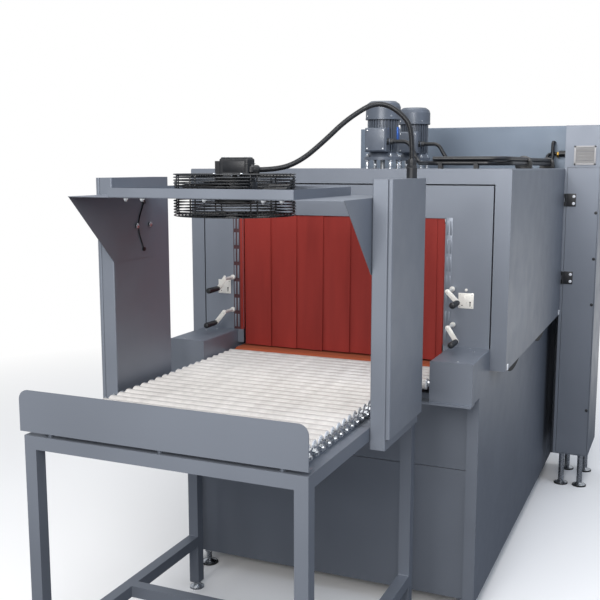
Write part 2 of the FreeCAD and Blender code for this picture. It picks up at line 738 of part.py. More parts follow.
def drive_gearmotor():
    """Shaft-mounted worm gearbox with its motor lying inside the right beam."""
    x0 = BEAM_IN + SHEET + 6
    case_box = box(x0, x0 + 96, -DRUM_OVER - 36, -DRUM_OVER + 52, BEAM_BOTTOM + SHEET, DRUM_Z + 42)
    case_box = round_edges(case_box, 10, along(0))
    motor = rod(x0 + 48, -DRUM_OVER + 50, DRUM_Z, 38, 190, (0, 1, 0))
    bore = rod(x0 - 1, -DRUM_OVER, DRUM_Z, DRUM_SHAFT_R + FIT, 98, (1, 0, 0))
    return [fuse([case_box, motor]).cut(bore)]


# Hood

def hood_shell():
    """Insulated roof and side walls folded as one arch, standing over the conveyor beams."""
    outer = box(-HALF, HALF, 0, HOOD_L, HOOD_SKIRT, HOOD_TOP)
    outer = round_edges(outer, BEND, lambda e: along(1)(e) and e.CenterOfMass.z > HOOD_TOP - 1)
    arch = outer.cut(box(-INNER, INNER, 0, HOOD_L, HOOD_SKIRT, ROOF_LOW))
    ports = [rod(0, y, ROOF_LOW - 1, SHAFT_R + 8, ROOF + 2) for y in FAN_PLACES]
    return [arch.cut(ports)]


def end_panel():
    """Front panel pan with its opening, slotted edge strips, and ears for the curtain rod."""
    x = INNER - REVEAL
    top = ROOF_LOW - REVEAL
    half = OPEN_W / 2
    face = box(-x, x, 0, SHEET, BEAM_TOP, top)
    strips = [box(side * half if side > 0 else -BEAM_IN + 1, BEAM_IN - 1 if side > 0 else -half,
                  0, SHEET, STRIP_BOTTOM, BEAM_TOP + 1) for side in (-1, 1)]
    lips = [box(-x, SHEET - x, 0, PANEL_LIP, BEAM_TOP, top),
            box(x - SHEET, x, 0, PANEL_LIP, BEAM_TOP, top),
            box(-x, x, 0, PANEL_LIP, top - SHEET, top)]
    ears = [box(s * BEAM_IN - 3 if s > 0 else -BEAM_IN, s * BEAM_IN if s > 0 else 3 - BEAM_IN,
                0, PANEL_LIP, CURTAIN_AXIS_Z - 12, CURTAIN_AXIS_Z + 12) for s in (-1, 1)]
    pan = fuse([face] + strips + lips + ears)
    cuts = [box(-half, half, -1, SHEET + 1, STRIP_BOTTOM - 1, OPEN_TOP)]
    middle = (half + BEAM_IN) / 2 - 1
    for k in range(WINDOWS):
        z = WINDOW_FIRST + k * WINDOW_PITCH
        for side in (-1, 1):
            cuts.append(box(side * middle - 10, side * middle + 10, -1, SHEET + 1, z, z + WINDOW_H))
    cuts.append(rod(-BEAM_IN - 1, CURTAIN_AXIS_Y, CURTAIN_AXIS_Z, CURTAIN_ROD_R + FIT,
                    2 * BEAM_IN + 2, (1, 0, 0)))
    for side, out, z, dx, dz in LEVERS.values():
        cuts.append(rod(side * (BEAM_IN + out), -1, z, LEVER_STEM_R + FIT, SHEET + 2, (0, 1, 0)))
    return pan.cut(cuts)


def hood_end_panels():
    front = end_panel()
    rear = front.copy()
    rear.rotate(V(0, HOOD_L / 2, 0), V(0, 0, 1), 180)
    return [front, rear]


def heating_chamber():
    """Slotted duct walls, a ceiling with the fans' inlets, and heater rods on brackets."""
    y0, y1 = PANEL_LIP + 6, HOOD_L - PANEL_LIP - 6
    outside = BEAM_IN + DUCT_GAP + SHEET
    slot_count = int((y1 - y0 - 2 * DUCT_SLOT_IN) / DUCT_SLOT_PITCH) + 1
    parts = []
    for side in (-1, 1):
        inner = side * (BEAM_IN + DUCT_GAP)
        x0 = min(inner, inner + side * SHEET)
        wall = box(x0, x0 + SHEET, y0, y1, BEAM_TOP, DUCT_TOP)
        starts = [y0 + DUCT_SLOT_IN + k * DUCT_SLOT_PITCH for k in range(slot_count)]
        slots = [box(x0 - 1, x0 + SHEET + 1, y, y + 16, BEAM_TOP + 60, DUCT_TOP - 120) for y in starts]
        parts.append(wall.cut(slots))
        middle = side * (outside + INNER) / 2
        brackets = [box(middle - BRACKET_W / 2, middle + BRACKET_W / 2, y, y + SHEET,
                        BEAM_TOP, BEAM_TOP + BRACKET_H)
                    for y in (BRACKET_IN, HOOD_L - BRACKET_IN - SHEET)]
        rods = [rod(middle, HEATER_IN, BEAM_TOP + z, HEATER_R, HOOD_L - 2 * HEATER_IN, (0, 1, 0))
                for z in HEATER_RISES]
        parts.append(fuse(brackets + rods))
    ceiling = box(-outside, outside, y0, y1, DUCT_TOP, DUCT_TOP + SHEET)
    parts.append(ceiling.cut([rod(0, y, DUCT_TOP - 1, WHEEL_R - 36, SHEET + 2) for y in FAN_PLACES]))
    return parts


def impeller(y):
    """Radial wheel: back plate, curved blades, inlet ring, hub and shaft up to the motor."""
    low = DUCT_TOP + SHEET + 14
    top = low + WHEEL_H
    back = lathe([(0, top - 3), (WHEEL_R, top - 3), (WHEEL_R, top), (28, top), (28, top + 8),
                  (SHAFT_R, top + 8), (SHAFT_R, HOOD_TOP + STAND_H + 20),
                  (0, HOOD_TOP + STAND_H + 20)], 0, y)
    inlet = lathe([(WHEEL_R - 36, low), (WHEEL_R, low), (WHEEL_R, low + 3), (WHEEL_R - 36, low + 3)],
                  0, y)
    mean = 92.0
    centre = V(88, y + mean * 0.75, 0)
    ring_solid = lathe([(mean, low + 1), (mean + 3, low + 1), (mean + 3, top - 1), (mean, top - 1)],
                       centre.x, centre.y)
    zone = lathe([(80, low + 1), (WHEEL_R - 3, low + 1), (WHEEL_R - 3, top - 1), (80, top - 1)], 0, y)
    blade = ring_solid.common(zone)
    pieces = sorted(blade.Solids, key=lambda s: s.CenterOfMass.y)
    blades = []
    for k in range(WHEEL_BLADES):
        copy = pieces[0].copy()
        copy.rotate(V(0, y, 0), V(0, 0, 1), 360.0 * k / WHEEL_BLADES)
        blades.append(copy)
    return [fuse([back, inlet] + blades)]


def circulation_motors():
    """Flange motors on four stand-offs: finned frame with terminal box, and a domed fan cowl."""
    parts = []
    base = HOOD_TOP + STAND_H
    for y in FAN_PLACES:
        flange = rod(0, y, base, FLANGE_R, 12)
        neck = lathe([(0, base + 12), (FLANGE_R - 12, base + 12), (MOTOR_R, base + FLANGE_T),
                      (0, base + FLANGE_T)], 0, y)
        outline = []
        for k in range(FINS):
            start = 2 * math.pi * k / FINS
            for part, r in ((0.0, MOTOR_R), (0.62, MOTOR_R), (0.70, MOTOR_R + FIN_H),
                            (0.92, MOTOR_R + FIN_H)):
                t = start + 2 * math.pi * part / FINS
                outline.append((r * math.cos(t), y + r * math.sin(t)))
        frame = plate(outline, 2, base + FLANGE_T, MOTOR_TOP - base - FLANGE_T)
        front = y - MOTOR_R - TERMINAL_D
        low = base + FLANGE_T
        terminal = box(-TERMINAL_W / 2, TERMINAL_W / 2, front, y - MOTOR_R + 12, low, low + TERMINAL_H)
        terminal = round_edges(terminal, 8, lambda e: e.CenterOfMass.y < front + 1)
        gland = rod(TERMINAL_W / 2 - 2, front + 20, GLAND_Z, 12, 26, (1, 0, 0))
        studs = [rod(a * 52, y + b * 52, HOOD_TOP, 7, STAND_H + 1) for a in (-1, 1) for b in (-1, 1)]
        bore = rod(0, y, base - 1, SHAFT_R + FIT, 22 + FIT)
        parts.append(fuse([flange, neck, frame, terminal, gland] + studs).cut(bore))
        cowl = lathe([(0, MOTOR_TOP), (COWL_R, MOTOR_TOP), (COWL_R, COWL_TOP - 24),
                      (COWL_R - 6, COWL_TOP - 10), (COWL_R - 20, COWL_TOP), (0, COWL_TOP)], 0, y)
        parts.append(cowl)
    return parts


def curtain(y, outward):
    """Hanging curtain: overlapping strips under a clamp bar on a rod; outward is the side it faces."""
    half = OPEN_W / 2 - CURTAIN_SIDE
    pitch = (2 * half - STRIP_OVERLAP) / CURTAIN_STRIPS
    axle = rod(-BEAM_IN, y, CURTAIN_AXIS_Z, CURTAIN_ROD_R, 2 * BEAM_IN, (1, 0, 0))
    hanging = [box(-half, half, y - 4, y + 4, CURTAIN_AXIS_Z - 22, CURTAIN_AXIS_Z)]
    for k in range(CURTAIN_STRIPS):
        x = -half + k * pitch
        shift = outward * (STRIP_T if k % 2 else 0.0)
        y0 = y - STRIP_T / 2 + shift
        hanging.append(box(x, x + pitch + STRIP_OVERLAP, y0, y0 + STRIP_T,
                           CURTAIN_BOTTOM, CURTAIN_AXIS_Z - 10))
    return [axle, fuse(hanging).cut(axle)]


def lever(side, out, z, dx, dz):
    """Damper lever: stem through the panel, flat arm, grip, and a shutter disc in the duct."""
    x = side * (BEAM_IN + out)
    gx, gz = x + side * dx, z + dz
    tip = -LEVER_REACH - ARM_T
    stem = rod(x, tip, z, LEVER_STEM_R, SHUTTER_Y + SHUTTER_T - tip, (0, 1, 0))
    collar = rod(x, -1 - COLLAR_L, z, COLLAR_R, COLLAR_L, (0, 1, 0))
    arm = box(x, x + math.hypot(dx, dz), tip, tip + ARM_T, z - ARM_W / 2, z + ARM_W / 2)
    arm.rotate(V(x, 0, z), V(0, -1, 0), math.degrees(math.atan2(gz - z, gx - x)))
    ends = [rod(a, tip, b, ARM_W / 2, ARM_T, (0, 1, 0)) for a, b in ((x, z), (gx, gz))]
    grip = rod(gx, tip - GRIP_L, gz, GRIP_R, GRIP_L, (0, 1, 0))
    shutter = rod(x + side * SHUTTER_OFF, SHUTTER_Y, z, SHUTTER_R, SHUTTER_T, (0, 1, 0))
    inner = BEAM_IN - 2
    limit = box(side * inner if side > 0 else -INNER + 2, INNER - 2 if side > 0 else -inner,
                0, 40, z - 60, z + 60)
    return [fuse([stem, collar, arm, grip, shutter.common(limit)] + ends)]


# Control cabinet

def door_box():
    x0 = CABINET_X + DOOR_MARGIN
    x1 = CABINET_X + CABINET_W - 6
    return x0, x1, CABINET_BOTTOM + 6, DOOR_TOP - 2


def control_cabinet():
    """Tall case with its door opening, and the vent's louvred frame as a separate piece."""
    x0, x1 = CABINET_X, CABINET_X + CABINET_W
    y0, y1 = CABINET_Y, CABINET_Y + CABINET_D
    body = case(x0, x1, y0, y1, CABINET_BOTTOM, CABINET_TOP, THIN)
    dx0, dx1, dz0, dz1 = door_box()
    gap = 1.5
    opening = box(dx0 - gap, dx1 + gap, y0 - 1, y0 + THIN + 1, dz0 - gap, dz1 + gap)
    vent = box(VENT_X + VENT_RIM, VENT_X + VENT_W - VENT_RIM, y0 - 6, y0 + THIN + 1,
               VENT_LOW + VENT_RIM, VENT_LOW + VENT_H - VENT_RIM)
    shelf = box(x0 + THIN, x1 - THIN, y0 + THIN, y1 - THIN, DOOR_TOP, DOOR_TOP + THIN)
    plate_back = box(x0 + 20, x1 - 20, y1 - 60, y1 - 57, CABINET_BOTTOM + THIN, DOOR_TOP)
    body = fuse([body.cut([opening, vent]), shelf, plate_back])
    rim = box(VENT_X, VENT_X + VENT_W, y0 - 5, y0, VENT_LOW, VENT_LOW + VENT_H)
    rim = rim.cut(vent)
    slats = []
    step = (VENT_H - 2 * VENT_RIM) / VENT_SLATS
    for k in range(VENT_SLATS):
        z = VENT_LOW + VENT_RIM + (k + 0.5) * step
        slats.append(box(VENT_X + VENT_RIM - 1, VENT_X + VENT_W - VENT_RIM + 1, y0 - 4.5, y0 - 0.5,
                         z - 0.8, z + 0.8))
    return [body, fuse([rim] + slats)]


def cabinet_door():
    """Door pan with its returns and the moving hinge leaves."""
    x0, x1, z0, z1 = door_box()
    y = CABINET_Y
    pan = box(x0, x1, y, y + DOOR_DEPTH, z0, z1)
    pan = pan.cut(box(x0 + THIN, x1 - THIN, y + THIN, y + DOOR_DEPTH, z0 + THIN, z1 - THIN))
    px, py = hinge_axis()
    third = HINGE_H / 3
    parts = [pan]
    for z in HINGES:
        leaf = box(px, px + LEAF_W, y - LEAF_T, y, z - HINGE_H / 2, z + HINGE_H / 2)
        knuckle = rod(px, py, z - third / 2 + FIT, KNUCKLE_R, third - 2 * FIT)
        cuts = [rod(px, py, z - third, PIN_R + FIT, 2 * third)]
        for low, high in ((z - HINGE_H / 2 - 1, z - third / 2 + FIT),
                          (z + third / 2 - FIT, z + HINGE_H / 2 + 1)):
            cuts.append(box(px - 1, px + KNUCKLE_R + 1, y - 12, y, low, high))
        parts.append(fuse([leaf, knuckle]).cut(cuts))
    return [fuse(parts)]


def hinge_axis():
    return CABINET_X + DOOR_MARGIN - PIN_R, CABINET_Y - KNUCKLE_R - 0.5


def door_hinges():
    """Fixed knuckles on the cabinet's edge strip, each pair on one pin."""
    px, py = hinge_axis()
    y = CABINET_Y
    third = HINGE_H / 3
    parts = []
    for z in HINGES:
        pieces = [rod(px, py, z - HINGE_H / 2, PIN_R, HINGE_H)]
        for low in (z - HINGE_H / 2, z + third / 2):
            knuckle = rod(px, py, low, KNUCKLE_R, third)
            tab = box(px - 9, px, y - LEAF_T, y, low, low + third)
            pieces += [knuckle, tab]
        parts.append(fuse(pieces))
    return parts


def head_box():
    return [case(HEAD_LEFT, CABINET_X, HEAD_Y, HEAD_Y + HEAD_D, HEAD_LOW, HEAD_TOP, THIN, 5.0, 0)]


def wiring_conduits():
    """Two conduits from the circulation motors in clips and saddles, and a clipped sensor cable."""
    x0 = TERMINAL_W / 2 + 24
    front = FAN_PLACES[0] - MOTOR_R - TERMINAL_D + 20
    back = FAN_PLACES[1] - MOTOR_R - TERMINAL_D + 20
    lead = x0 + CONDUIT_LEAD
    z = CONDUIT_Z
    run_a, run_b = RUN_FRONT_X, RUN_REAR_X
    rise_y, wall_y = HEAD_Y - RISE_BACK, HEAD_Y - WALL_BACK
    high_a, high_b = CONDUIT_Z + ENTRY_FRONT, CONDUIT_Z + ENTRY_REAR
    gland_x = CABINET_X - ENTRY_GLAND_L
    a = [(x0, front, GLAND_Z), (lead, front, GLAND_Z), (lead + 50, front - 20, z),
         (lead + 150, RUN_FRONT_Y, z), (run_a - 60, RUN_FRONT_Y, z), (run_a, RUN_FRONT_Y + 90, z),
         (run_a, rise_y - 30, z), (run_a, rise_y, z + 40), (run_a, rise_y, high_a),
         (run_a, HEAD_Y, high_a)]
    b = [(x0, back, GLAND_Z), (lead, back, GLAND_Z), (lead + 60, back - 20, z),
         (run_b - 70, back - 20, z), (run_b, back + 70, z), (run_b, wall_y - 65, z),
         (run_b, wall_y, high_b), (gland_x, wall_y, high_b)]
    parts = [bent_tube(a, CONDUIT_D, CONDUIT_BEND, "front conduit"),
             bent_tube(b, CONDUIT_D, CONDUIT_BEND, "rear conduit")]
    parts.append(rod(gland_x, wall_y, high_b, ENTRY_GLAND_R, ENTRY_GLAND_L, (1, 0, 0)))
    for y in SADDLES:
        across = [run_a, run_b] if y > back + 80 else [run_a]
        saddle = box(min(across) - SADDLE_SIDE, run_a + SADDLE_SIDE, y - SADDLE_W / 2, y + SADDLE_W / 2,
                     HOOD_TOP, z + CONDUIT_D / 2 + 3)
        saddle = round_edges(saddle, 9, lambda e: along(1)(e) and e.CenterOfMass.z > z)
        bores = [rod(x, y - SADDLE_W, z, CONDUIT_D / 2 + FIT, 2 * SADDLE_W, (0, 1, 0)) for x in across]
        parts.append(saddle.cut(bores))
    for x in CLIP_PLACES:
        clip = box(x - CLIP_W / 2, x + CLIP_W / 2, RUN_FRONT_Y - CLIP_HALF, RUN_FRONT_Y + CLIP_HALF,
                   HOOD_TOP, z + 3)
        parts.append(clip.cut(rod(x - CLIP_W, RUN_FRONT_Y, z, CONDUIT_D / 2 + FIT, 2 * CLIP_W, (1, 0, 0))))
    wing = TABLE_LEFT + THIN
    middle = wing + CABLE_D / 2
    cable = bent_tube([(middle, y, z) for y, z in CABLE_RUN], CABLE_D, None, "sensor cable")
    buttons = [rod(wing, y, z, BUTTON_R, CABLE_D + 1, (1, 0, 0)) for y, z in CABLE_BUTTONS]
    return parts + cable.cut(buttons).Solids + buttons


def build():
    nodes = {
        "table_frame": table_frame(),
        "roller_rails": roller_rails(),
        "roller_axles": roller_axles(),
        "end_stop_plate": end_stop_plate(),
        "levelling_feet": levelling_feet(),
        "cooling_columns": cooling_columns(),
        "canopy": canopy(),
        "fan_tray": fan_tray(),
        "fan_guard": fan_guard(),
        "fan_rotor": fan_rotor(),
        "fan_motor_box": fan_motor_box(),
        "fan_hose": fan_hose(),
        "base_cabinet": base_cabinet(),
        "conveyor_frame": conveyor_frame(),
        "conveyor_belt": conveyor_belt(),
        "drive_drum": drum(-DRUM_OVER, BEAM_IN + SHEET + 100),
        "idler_drum": drum(HOOD_L + DRUM_OVER, BEAM_IN + 20),
        "drive_gearmotor": drive_gearmotor(),
        "hood_shell": hood_shell(),
        "hood_end_panels": hood_end_panels(),
        "heating_chamber": heating_chamber(),
        "impeller_front": impeller(FAN_PLACES[0]),
        "impeller_rear": impeller(FAN_PLACES[1]),
        "circulation_motors": circulation_motors(),
        "exit_curtain": curtain(CURTAIN_AXIS_Y, 1),
        "entry_curtain": curtain(HOOD_L - CURTAIN_AXIS_Y, -1),
        "control_cabinet": control_cabinet(),
        "cabinet_door": cabinet_door(),
        "door_hinges": door_hinges(),
        "head_box": head_box(),
        "wiring_conduits": wiring_conduits(),
    }
    nodes.update(rollers())
    for name, values in LEVERS.items():
        nodes[name] = lever(*values)
    return nodes


def origin(nodes):
    """Middle of the whole object's footprint, on the floor; the free hose is left out."""
    whole = Part.makeCompound([s for name, solids in nodes.items() if name != "fan_hose" for s in solids])
    b = whole.BoundBox
    return V((b.XMin + b.XMax) / 2, (b.YMin + b.YMax) / 2, 0)


def main():
    os.makedirs("parts", exist_ok=True)
    nodes = build()
    shift = origin(nodes)
    print("origin shift", shift)
    for name, solids in nodes.items():
        shape = solids[0].copy() if len(solids) == 1 else Part.makeCompound([s.copy() for s in solids])
        shape.translate(shift * -1)
        if not shape.isValid():
            print("invalid:", name)
        shape.exportStep("parts/%s.step" % name)
    print(len(nodes), "nodes")


if __name__ == "__main__":
    main()
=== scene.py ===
"""Looks of a shrink tunnel with its outfeed roller table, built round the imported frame."""

import json
import math
import random

import bmesh
import bpy
from bpy.props import FloatProperty, FloatVectorProperty, PointerProperty
from mathutils import Matrix, Vector, noise


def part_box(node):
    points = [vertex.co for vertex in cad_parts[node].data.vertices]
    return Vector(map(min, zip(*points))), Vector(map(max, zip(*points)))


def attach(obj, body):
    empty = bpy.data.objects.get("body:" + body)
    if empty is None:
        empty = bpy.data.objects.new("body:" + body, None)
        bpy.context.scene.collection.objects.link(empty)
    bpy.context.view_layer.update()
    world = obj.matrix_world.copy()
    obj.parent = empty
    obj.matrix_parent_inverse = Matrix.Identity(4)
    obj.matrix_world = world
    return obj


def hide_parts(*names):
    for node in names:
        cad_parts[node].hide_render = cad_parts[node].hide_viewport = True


bl_info = {
    "name": "Shrink tunnel",
    "version": (1, 0, 0),
    "blender": (4, 5, 0),
    "location": "View3D > Sidebar > Tunnel",
    "description": "Dresses the frame of a shrink tunnel with its finishes and fittings",
    "category": "Object",
}

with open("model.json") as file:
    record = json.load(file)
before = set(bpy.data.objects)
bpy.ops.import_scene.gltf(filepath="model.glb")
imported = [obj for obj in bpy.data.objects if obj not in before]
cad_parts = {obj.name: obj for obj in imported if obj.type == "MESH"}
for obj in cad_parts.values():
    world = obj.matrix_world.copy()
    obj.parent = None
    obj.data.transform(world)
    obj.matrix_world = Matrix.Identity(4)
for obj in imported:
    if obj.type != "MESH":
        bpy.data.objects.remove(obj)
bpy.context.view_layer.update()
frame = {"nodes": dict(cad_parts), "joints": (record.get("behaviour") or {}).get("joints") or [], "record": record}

# The pieces are written in millimetres from the hood: X from its middle, Y from its outfeed
# face and Z from the floor.
MM = 0.001
HOOD_LOW, HOOD_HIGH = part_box("hood_shell")
HOOD_ORIGIN = Vector(((HOOD_LOW.x + HOOD_HIGH.x) / 2, HOOD_LOW.y, 0.0))
TO_FRAME = Matrix.Translation(HOOD_ORIGIN) @ Matrix.Scale(MM, 4)
FROM_FRAME = TO_FRAME.inverted()
X_AXIS, Y_AXIS, Z_AXIS = Vector((1, 0, 0)), Vector((0, 1, 0)), Vector((0, 0, 1))


def span(node):
    """A node's lowest and highest corner, in millimetres from the hood."""
    low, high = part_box(node)
    return FROM_FRAME @ low, FROM_FRAME @ high


def pivot(joint):
    """A joint's place, in millimetres from the hood."""
    found = next(j for j in frame["joints"] if j["name"] == joint)
    return FROM_FRAME @ Vector(found["pos_m"])


HOOD_TOP = span("hood_shell")[1].z
HOOD_HALF = span("hood_shell")[1].x
HOOD_LONG = span("hood_shell")[1].y
BEAM_OUT = span("conveyor_frame")[1].x
BEAM_TOP = 989.0
TABLE_LEFT, TABLE_RIGHT = span("canopy")[0].x, span("canopy")[1].x
TABLE_FRONT = span("end_stop_plate")[0].y
CANOPY_TOP = span("canopy")[1].z
TABLE_REAR = -300.0
TABLE_TUBE = 40.0
TABLE_TOP = 882.0
STRETCHER_LOW, STRETCHER_TOP = 180.0, 220.0
OPENING_TOP = 1463.0
CURTAIN_HALF = 414.0
BELT_TOP = span("conveyor_belt")[1].z
DOOR_FACE = span("cabinet_door")[1].y - 18.0
MOTOR_Y = (pivot("impeller_front_spin").y, pivot("impeller_rear_spin").y)

# Camera, solved from the photograph: place, turn to the left, tilt down and lens
CAMERA_PLACE = Vector((1245.0, -3235.0, 1650.0))
CAMERA_TURN = math.radians(23.55)
CAMERA_TILT = math.radians(8.44)
CAMERA_LENS = 53.8

# The cooling fan's hose, from the fan's terminal box to the gland on the column
HOSE_POINTS = [
    (21, -773, 1642),
    (80, -736, 1641),
    (140, -694, 1668),
    (199, -655, 1726),
    (262, -613, 1797),
    (345, -558, 1855),
    (421, -508, 1800),
    (434, -499, 1735),
    (434, -499, 1660),
]

# Damper levers: the grip's place across and up from the pivot
LEVER_ARMS = {
    "lever_right_upper": (39.0, -38.0),
    "lever_right_lower": (32.0, -48.0),
    "lever_left_upper": (-27.0, -39.0),
    "lever_left_lower": (-38.0, -45.0),
}

random.seed(7)


def linear(code):
    """An sRGB hex colour as linear red, green, blue and alpha."""
    parts = [int(code[i:i + 2], 16) / 255 for i in (1, 3, 5)]
    return tuple([c / 12.92 if c <= 0.04045 else ((c + 0.055) / 1.055) ** 2.4 for c in parts] + [1.0])


def shade(colour, factor):
    return tuple([min(1.0, c * factor) for c in colour[:3]] + [1.0])


# Materials

def add(tree, kind, inputs=None, **settings):
    """Adds a node; an input given as a socket is linked, and any other is its value."""
    node = tree.nodes.new(kind)
    for key, value in settings.items():
        setattr(node, key, value)
    for key, value in (inputs or {}).items():
        if isinstance(value, bpy.types.NodeSocket):
            tree.links.new(value, node.inputs[key])
        else:
            node.inputs[key].default_value = value
    return node


def blank(name):
    """A new material with only its Principled shader, and its Object coordinates."""
    made = bpy.data.materials.new(name)
    made.use_nodes = True
    tree = made.node_tree
    shader = tree.nodes["Principled BSDF"]
    where = add(tree, "ShaderNodeTexCoord").outputs["Object"]
    return made, tree, shader, where


def grain(tree, where, size, detail=3.0, stretch=(1, 1, 1), rough=0.5):
    """Noise whose lumps are about size millimetres across."""
    scaled = add(tree, "ShaderNodeMapping", {"Vector": where, "Scale": stretch}).outputs[0]
    return add(tree, "ShaderNodeTexNoise", {"Vector": scaled, "Scale": 1 / (size * MM),
                                            "Detail": detail, "Roughness": rough}).outputs["Fac"]


def blend_colours(tree, factor, first, second):
    return add(tree, "ShaderNodeMix", {0: factor, 6: first, 7: second},
               data_type="RGBA").outputs[2]


def spread(tree, value, low, high, start=0.3, end=0.7):
    return add(tree, "ShaderNodeMapRange", {"Value": value, "From Min": start, "From Max": end,
                                            "To Min": low, "To Max": high}).outputs[0]


def relief(tree, height, depth, strength=1.0, normal=None):
    inputs = {"Height": height, "Distance": depth * MM, "Strength": strength}
    if normal:
        inputs["Normal"] = normal
    return add(tree, "ShaderNodeBump", inputs).outputs[0]


def mottled(name, code, roughness, metallic=0.0, lump=180.0, tint=0.06, fine=1.6, depth=0.05,
            polish=0.06, coat=0.0):
    """The common build of a finish: cloudy colour, uneven polish and a fine relief."""
    made, tree, shader, where = blank(name)
    base = linear(code)
    cloud = grain(tree, where, lump)
    colour = blend_colours(tree, spread(tree, cloud, 0, 1), shade(base, 1 - tint), shade(base, 1 + tint))
    tree.links.new(colour, shader.inputs["Base Color"])
    uneven = spread(tree, grain(tree, where, lump / 3), roughness - polish, roughness + polish)
    tree.links.new(uneven, shader.inputs["Roughness"])
    tree.links.new(relief(tree, grain(tree, where, fine, 2.0), depth), shader.inputs["Normal"])
    shader.inputs["Metallic"].default_value = metallic
    if coat:
        shader.inputs["Coat Weight"].default_value = coat
        shader.inputs["Coat Roughness"].default_value = 0.15
    return made


def powder_coat(name, code):
    """Polyester powder coat over folded sheet steel: metallic grey, satin, with a fine orange
    peel. The peel is 0.8 mm in life and is drawn at 2 mm, so that it shows."""
    made, tree, shader, where = blank(name)
    base = linear(code)
    cloud = grain(tree, where, 420.0, 2.0)
    colour = blend_colours(tree, spread(tree, cloud, 0, 1), shade(base, 0.94), shade(base, 1.06))
    tree.links.new(colour, shader.inputs["Base Color"])
    polish = spread(tree, grain(tree, where, 90.0), 0.38, 0.46)
    tree.links.new(polish, shader.inputs["Roughness"])
    peel = grain(tree, where, 2.0, 2.0)
    tree.links.new(relief(tree, peel, 0.10, 0.5), shader.inputs["Normal"])
    shader.inputs["Metallic"].default_value = 0.45
    return made


def structured_powder_coat():
    """The machine's mid grey."""
    return powder_coat("structured_powder_coat", "#787e88")


def shade_and_reflection_powder_coat():
    """The head box's grey, painted darker as shade and bluer as a painted sky reflection."""
    return powder_coat("shade_and_reflection_powder_coat", "#66717e")


def zinc_plate():
    """Blue-passivated zinc on nuts, screws and axles: bright metal, a little cloudy."""
    return mottled("zinc_plate", "#d3d6d9", 0.28, 1.0, 12.0, 0.10, 0.9, 0.03, 0.10)


def turned_steel():
    """Turned steel drums and shafts, with fine rings round the axis that runs along X."""
    made, tree, shader, where = blank("turned_steel")
    shader.inputs["Base Color"].default_value = linear("#b6b8ba")
    shader.inputs["Metallic"].default_value = 1.0
    rings = grain(tree, where, 3.0, 4.0, (1, 0.02, 0.02))
    tree.links.new(spread(tree, rings, 0.22, 0.42), shader.inputs["Roughness"])
    tree.links.new(relief(tree, rings, 0.03), shader.inputs["Normal"])
    return made


def galvanised_sheet():
    """Hot-dip galvanised sheet inside the hood: dull metal with spangles 15 mm across."""
    made, tree, shader, where = blank("galvanised_sheet")
    cells = add(tree, "ShaderNodeTexVoronoi", {"Vector": where, "Scale": 1 / (15 * MM)}).outputs["Color"]
    value = add(tree, "ShaderNodeSeparateColor", {0: cells}).outputs[0]
    colour = blend_colours(tree, value, linear("#8d9092"), linear("#a9acad"))
    tree.links.new(colour, shader.inputs["Base Color"])
    tree.links.new(spread(tree, value, 0.38, 0.55, 0, 1), shader.inputs["Roughness"])
    shader.inputs["Metallic"].default_value = 0.9
    return made


def roller_tube():
    """Extruded PVC tube of the free rollers: cream white, satin, rubbed round its girth."""
    made, tree, shader, where = blank("roller_tube")
    rubbed = grain(tree, where, 30.0, 4.0, (1, 0.15, 0.15))
    colour = blend_colours(tree, spread(tree, rubbed, 0, 1), linear("#b4b1ae"), linear("#c6c3c0"))
    tree.links.new(colour, shader.inputs["Base Color"])
    tree.links.new(spread(tree, rubbed, 0.30, 0.42), shader.inputs["Roughness"])
    tree.links.new(relief(tree, grain(tree, where, 2.5, 2.0), 0.03), shader.inputs["Normal"])
    return made


def silicone_strip():
    """Silicone-coated cloth of the curtain: matt red, with long soft streaks and a fine weave
    that is 0.6 mm in life and is drawn at 2 mm."""
    made, tree, shader, where = blank("silicone_strip")
    streaks = grain(tree, where, 60.0, 3.0, (1, 1, 0.12))
    colour = blend_colours(tree, spread(tree, streaks, 0, 1), linear("#7f241e"), linear("#912d26"))
    tree.links.new(colour, shader.inputs["Base Color"])
    shader.inputs["Roughness"].default_value = 0.58
    shader.inputs["Specular IOR Level"].default_value = 0.3
    waves = []
    for direction in ("X", "Z"):
        waves.append(add(tree, "ShaderNodeTexWave", {"Vector": where, "Scale": 1 / (2 * MM) / 6.28},
                         bands_direction=direction).outputs["Fac"])
    weave = add(tree, "ShaderNodeMath", {0: waves[0], 1: waves[1]}, operation="ADD").outputs[0]
    tree.links.new(relief(tree, weave, 0.05, 0.5), shader.inputs["Normal"])
    return made


def maroon_gasket():
    """Dark red sponge gasket behind the edge strips' windows: dull, with open pores 2 mm wide."""
    return mottled("maroon_gasket", "#45282c", 0.75, 0.0, 25.0, 0.15, 2.0, 0.12)


def belt_cloth():
    """Silicone-coated glass cloth of the belt: orange-brown, semi-gloss, with a 4 mm weave,
    darkened where packs have rubbed it."""
    made, tree, shader, where = blank("belt_cloth")
    worn = grain(tree, where, 140.0, 3.0, (1, 0.2, 1))
    colour = blend_colours(tree, spread(tree, worn, 0, 1), linear("#94411f"), linear("#ab532b"))
    tree.links.new(colour, shader.inputs["Base Color"])
    tree.links.new(spread(tree, worn, 0.36, 0.5), shader.inputs["Roughness"])
    weave = add(tree, "ShaderNodeTexChecker", {"Vector": where, "Scale": 1 / (4 * MM)}).outputs["Fac"]
    tree.links.new(relief(tree, weave, 0.12, 0.35), shader.inputs["Normal"])
    return made


def wire_coating():
    """Black dipped coating on the fan's wire guard: glossy where it ran thick."""
    return mottled("wire_coating", "#0d1116", 0.26, 0.0, 20.0, 0.12, 3.0, 0.05, 0.08)


def fan_steel():
    """Pressed steel fan wheel with an electrostatic black paint, satin."""
    return mottled("fan_steel", "#0f1216", 0.38, 0.1, 40.0, 0.12, 1.5, 0.04)


